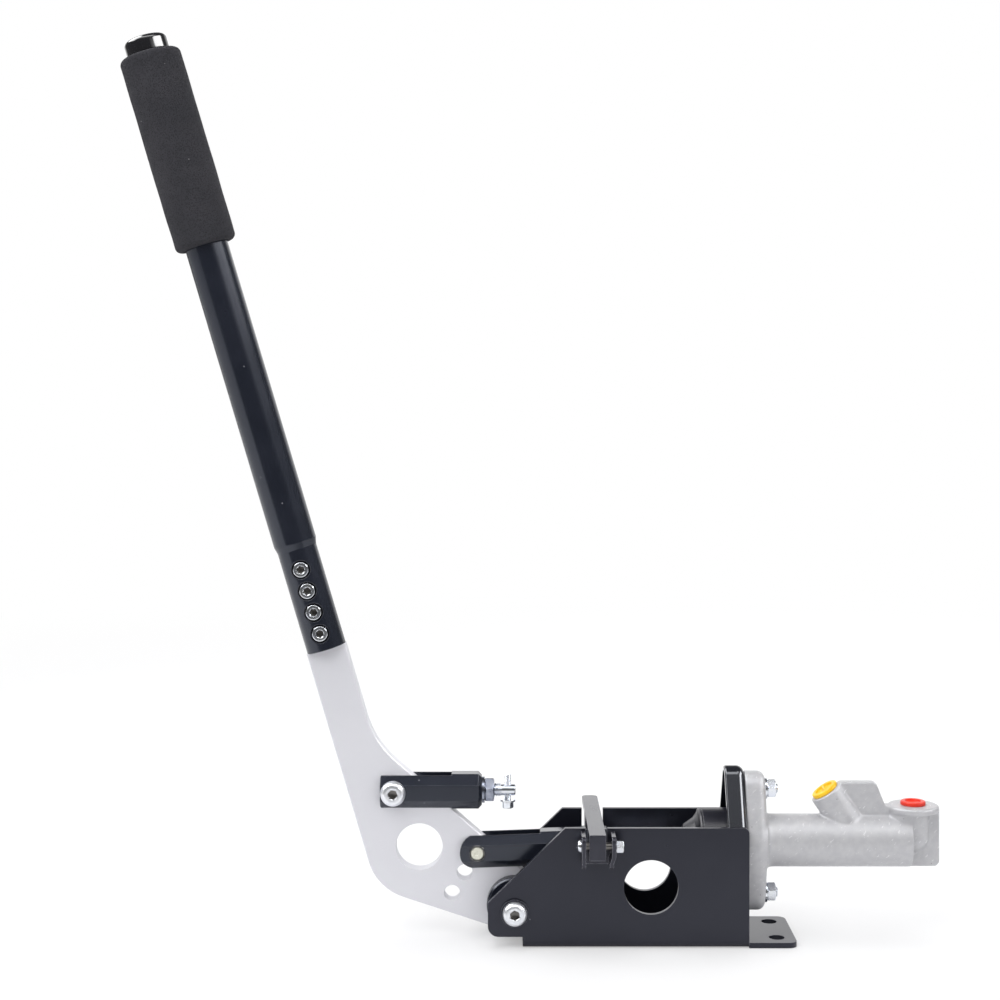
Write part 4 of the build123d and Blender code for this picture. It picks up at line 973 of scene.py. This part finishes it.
def castBody(look):
    # the casting with its roots and edges melted soft, and its machined faces left flat
    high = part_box("master_cylinder")[1]
    seat = bootLook["seat"][0]
    outletTop = outletLook["seat"][2]
    bm = remeshed(cadCopy("master_cylinder"), look["voxel"])
    for vert in bm.verts:
        # the waist is trimmed back where the root's collar stands out of it
        depth, rise = vert.co.x - seat, vert.co.z - cylinderAxis
        reach = math.hypot(vert.co.y, rise)
        atRoot = look["thickness"] * look["flat"] < depth < look["thickness"] + look["root"]
        if atRoot and look["barrel"] < reach < look["collar"]:
            allowed = rootReach(look, depth, math.atan2(abs(rise), abs(vert.co.y)))
            if reach > allowed:
                vert.co.y *= allowed / reach
                vert.co.z = cylinderAxis + rise * allowed / reach
    bmesh.ops.remove_doubles(bm, verts=bm.verts[:], dist=look["voxel"] * look["weld"])
    bmesh.ops.dissolve_degenerate(bm, edges=bm.edges[:], dist=look["voxel"] * look["sliver"])
    loose = []
    for vert in bm.verts:
        fromAxis = math.hypot(vert.co.y, vert.co.z - cylinderAxis)
        machined = vert.co.x < seat + look["voxel"] or vert.co.z > high.z
        level = abs(vert.co.z - outletTop) < look["voxel"] * look["flat"]
        onOutlet = level and vert.co.x > look["outletStart"]
        inBore = fromAxis < look["bore"] * look["boreShare"] and vert.co.x < look["boreEnd"]
        if not (machined or onOutlet or inBore):
            loose.append(vert)
    for _ in range(look["rounds"]):
        bmesh.ops.smooth_vert(
            bm, verts=loose, factor=look["factor"], use_axis_x=True, use_axis_y=True, use_axis_z=True
        )
    for vert in loose:
        vert.co += vert.normal * noise.noise(vert.co * look["grainScale"]) * look["skin"]
        vert.co.x = min(vert.co.x, high.x)
    return bm


bm, crisp = castBody(castingLook), castingLook["crisp"]
finishPiece("castBody", bm, "frame", "castAluminium", ["master_cylinder"], crisp)
print("cast cylinder ready")

cameraLook = {
    "place": (-0.0939, -1.0867, 0.3283),
    "focal": 67.48,
    "sensor": 36.0,
    "tilt": 0.333,
    "shift": -0.12,
}
cameraData = bpy.data.cameras.new("photoCamera")
cameraData.lens = cameraLook["focal"]
cameraData.sensor_width = cameraLook["sensor"]
cameraData.shift_y = cameraLook["shift"]
cameraData.clip_start = 0.05
cameraData.clip_end = 60.0
camera = addObject("photoCamera", cameraData)
camera.location = cameraLook["place"]
camera.rotation_euler = (math.radians(90 - cameraLook["tilt"]), 0, 0)
bpy.context.scene.camera = camera
bpy.context.scene.view_settings.view_transform = "Standard"

lamps = {
    "keyLamp": {"place": (-0.9, -1.1, 1.5), "aim": (-0.06, 0.0, 0.15), "size": 1.3, "watts": 18.5},
    "fillLamp": {"place": (1.2, -1.3, 0.8), "aim": (0.0, 0.0, 0.12), "size": 1.4, "watts": 3.0},
    "topLamp": {"place": (-0.1, 0.2, 1.7), "aim": (-0.08, 0.0, 0.1), "size": 1.5, "watts": 14.0},
    "rimLamp": {"place": (0.5, 1.3, 0.9), "aim": (-0.05, 0.0, 0.2), "size": 1.2, "watts": 6.0},
}
for name, look in lamps.items():
    # the lamps only light; what reflections see is painted in the world
    data = bpy.data.lights.new(name, "AREA")
    data.shape = "SQUARE"
    data.size = look["size"]
    data.energy = look["watts"]
    lamp = addObject(name, data)
    lamp.location = look["place"]
    aim = Vector(look["aim"]) - Vector(look["place"])
    lamp.rotation_euler = aim.to_track_quat("-Z", "Y").to_euler()
    lamp.visible_camera = False
    lamp.visible_glossy = False


def addWindow(tree, axes, box):
    # soft-edged region of directions, given as a ramp up and a ramp down along some axes
    mask = None
    for axis, (rise, fall) in box.items():
        for ramp, invert in ((rise, False), (fall, True)):
            if ramp is not None:
                edge = addRamp(tree, axes.outputs[axis], *ramp, invert=invert)
                mask = edge if mask is None else addMath(tree, "MULTIPLY", mask, edge)
    return mask


def studioWorld(look):
    # white where it is seen; reflections see soft boxes, a backdrop and a dark room in front
    world = bpy.data.worlds.new("studio")
    bpy.context.scene.world = world
    world.use_nodes = True
    tree = world.node_tree
    place = addNode(tree, "ShaderNodeTexCoord").outputs["Generated"]
    axes = addNode(tree, "ShaderNodeSeparateXYZ", {"Vector": place})
    rays = addNode(tree, "ShaderNodeLightPath").outputs
    mirror = None
    for glow, box in look["boxes"]:
        light = addMath(tree, "MULTIPLY", addWindow(tree, axes, box), glow)
        if mirror is None:
            mirror = addMath(tree, "ADD", light, look["room"])
        else:
            mirror = addMath(tree, "MAXIMUM", mirror, light)
    glossy = addMath(tree, "MAXIMUM", rays["Is Glossy Ray"], rays["Is Transmission Ray"])
    dim = addNode(tree, "ShaderNodeMix", {0: glossy, 2: look["ambient"], 3: mirror}, data_type="FLOAT")
    inputs = {0: rays["Is Camera Ray"], 2: dim.outputs[0], 3: 1.0}
    seen = addNode(tree, "ShaderNodeMix", inputs, data_type="FLOAT")
    feed(tree, tree.nodes["Background"], {"Strength": seen.outputs[0], "Color": (1, 1, 1, 1)})


studioWorld({
    "ambient": 0.55,
    "room": 0.13,
    "boxes": [
        (1.0, {"Y": ((0.50, 0.82), None), "Z": (None, (0.45, 0.62))}),
        (1.8, {"Y": ((0.78, 0.90), None), "Z": ((0.12, 0.20), (0.32, 0.45))}),
        (0.6, {"Y": (None, (-0.25, 0.05)), "Z": ((0.50, 0.62), (0.92, 0.96))}),
        (4.5, {"Y": (None, (-0.30, -0.10)), "Z": ((0.77, 0.83), (0.92, 0.95))}),
        (12.0, {"X": ((0.58, 0.70), None), "Y": (None, (0.05, 0.25)), "Z": ((0.39, 0.45), (0.62, 0.72))}),
        (1.6, {"X": ((0.30, 0.70), None), "Y": (None, (-0.50, -0.40)), "Z": ((0.26, 0.32), (0.42, 0.50))}),
        (7.5, {
            "X": (None, (-0.42, -0.32)),
            "Y": ((-0.42, -0.32), (0.45, 0.55)),
            "Z": ((0.42, 0.48), (0.92, 0.97)),
        }),
        (0.2, {"X": ((0.66, 0.84), None)}),
        (0.9, {"X": (None, (-0.80, -0.70)), "Z": (None, (-0.16, -0.08))}),
    ],
})


def paleFloor(look):
    bm = bmesh.new()
    bmesh.ops.create_grid(bm, x_segments=1, y_segments=1, size=look["size"])
    mesh = meshFrom(bm, "paleFloor")
    made, tree, shader = newMaterial("paleFloor", {
        "Base Color": (*look["color"], 1),
        "Roughness": look["roughness"],
        "Specular IOR Level": look["specular"],
    })
    place = objectPlace(tree)
    glow = addNode(tree, "ShaderNodeEmission", {"Strength": 1.0})
    reach = addNode(tree, "ShaderNodeVectorMath", {0: place}, operation="LENGTH").outputs["Value"]
    far = addRamp(tree, reach, look["fadeFrom"], look["fadeTo"])
    rays = addNode(tree, "ShaderNodeLightPath").outputs
    veil = addMath(tree, "MULTIPLY_ADD", far, 1.0 - look["veil"], look["veil"])
    whiten = addMath(tree, "MULTIPLY", rays["Is Camera Ray"], veil)
    pale = addNode(tree, "ShaderNodeMixShader", {0: whiten, 1: shader.outputs[0], 2: glow.outputs[0]})
    # the table ends in front, so reflections find the dark room there
    axes = addNode(tree, "ShaderNodeSeparateXYZ", {"Vector": place}).outputs
    aside = addMath(tree, "ABSOLUTE", addMath(tree, "SUBTRACT", axes["X"], look["middle"]))
    forward = addMath(tree, "MULTIPLY_ADD", axes["Y"], -look["wedge"], look["corner"])
    beyond = addRamp(tree, addMath(tree, "SUBTRACT", forward, aside), 0.0, look["wedgeBlur"])
    tableEdge = -look["tableEdge"]
    near = addRamp(tree, axes["Y"], tableEdge - look["edgeBlur"], tableEdge, invert=True)
    room = addNode(tree, "ShaderNodeEmission", {"Strength": look["room"]})
    distant = addRamp(tree, reach, *look["horizon"])
    unlit = addMath(tree, "MAXIMUM", addMath(tree, "MULTIPLY", beyond, near), distant)
    dark = addMath(tree, "MULTIPLY", unlit, rays["Is Glossy Ray"])
    mixed = addNode(tree, "ShaderNodeMixShader", {0: dark, 1: pale.outputs[0], 2: room.outputs[0]})
    feed(tree, tree.nodes["Material Output"], {"Surface": mixed.outputs[0]})
    mesh.materials.append(made)
    floor = addObject("paleFloor", mesh)
    floor.location.z = -look["drop"]


paleFloor({
    "size": 20.0, "drop": 0.0002, "color": (0.86, 0.86, 0.87), "roughness": 0.6, "specular": 0.2,
    "fadeFrom": 0.5, "fadeTo": 1.6, "veil": 0.35, "horizon": (3.0, 5.0), "room": 0.13,
    "middle": -0.10, "wedge": 1.17, "corner": 0.054, "tableEdge": 0.38, "wedgeBlur": 0.10, "edgeBlur": 0.12,
})
print("camera, lamps and floor ready")

# nodes of the frame by finish; what isn't named is bright zinc
nodeFinishes = {
    # the pivot washers are black as painted shade: they give the dark ring round the pivot bolt's head
    "powderBlack": ["base_channel", "pivot_washers"],
    "pressedBlack": ["rear_upright"],
    "latchBlack": ["latch_bracket", "latch_bar"],
    "silverPlate": ["lever_plate"],
    "anodisedBlack": ["hub_disc_near", "hub_disc_far", "mast", "push_rod_clevis", "cable_clevis"],
    "sinteredBronze": ["pivot_bush", "rod_pin_bush"],
    "gripFoam": ["foam_grip"],
    "glossCap": ["end_cap"],
    "palePin": ["rod_pin"],
    "zincDark": ["stud_washer"],
    "castAluminium": ["master_cylinder"],
    "yellowPlastic": ["inlet_plug"],
    "redPlastic": ["outlet_plug"],
    "bootRubber": ["boot"],
    "springSteel": ["circlip", "return_spring"],
    "turnedAluminium": ["piston"],
    "sealRubber": ["rear_seal", "front_seal"],
}
finishOf = {node: finish for finish, group in nodeFinishes.items() for node in group}
for node, piece in nodes.items():
    data = piece.data
    if not data.materials:
        data.materials.append(None)
    for slotIndex in range(len(data.materials)):
        data.materials[slotIndex] = materials[finishOf.get(node, "zincBright")]
print("frame nodes dressed")
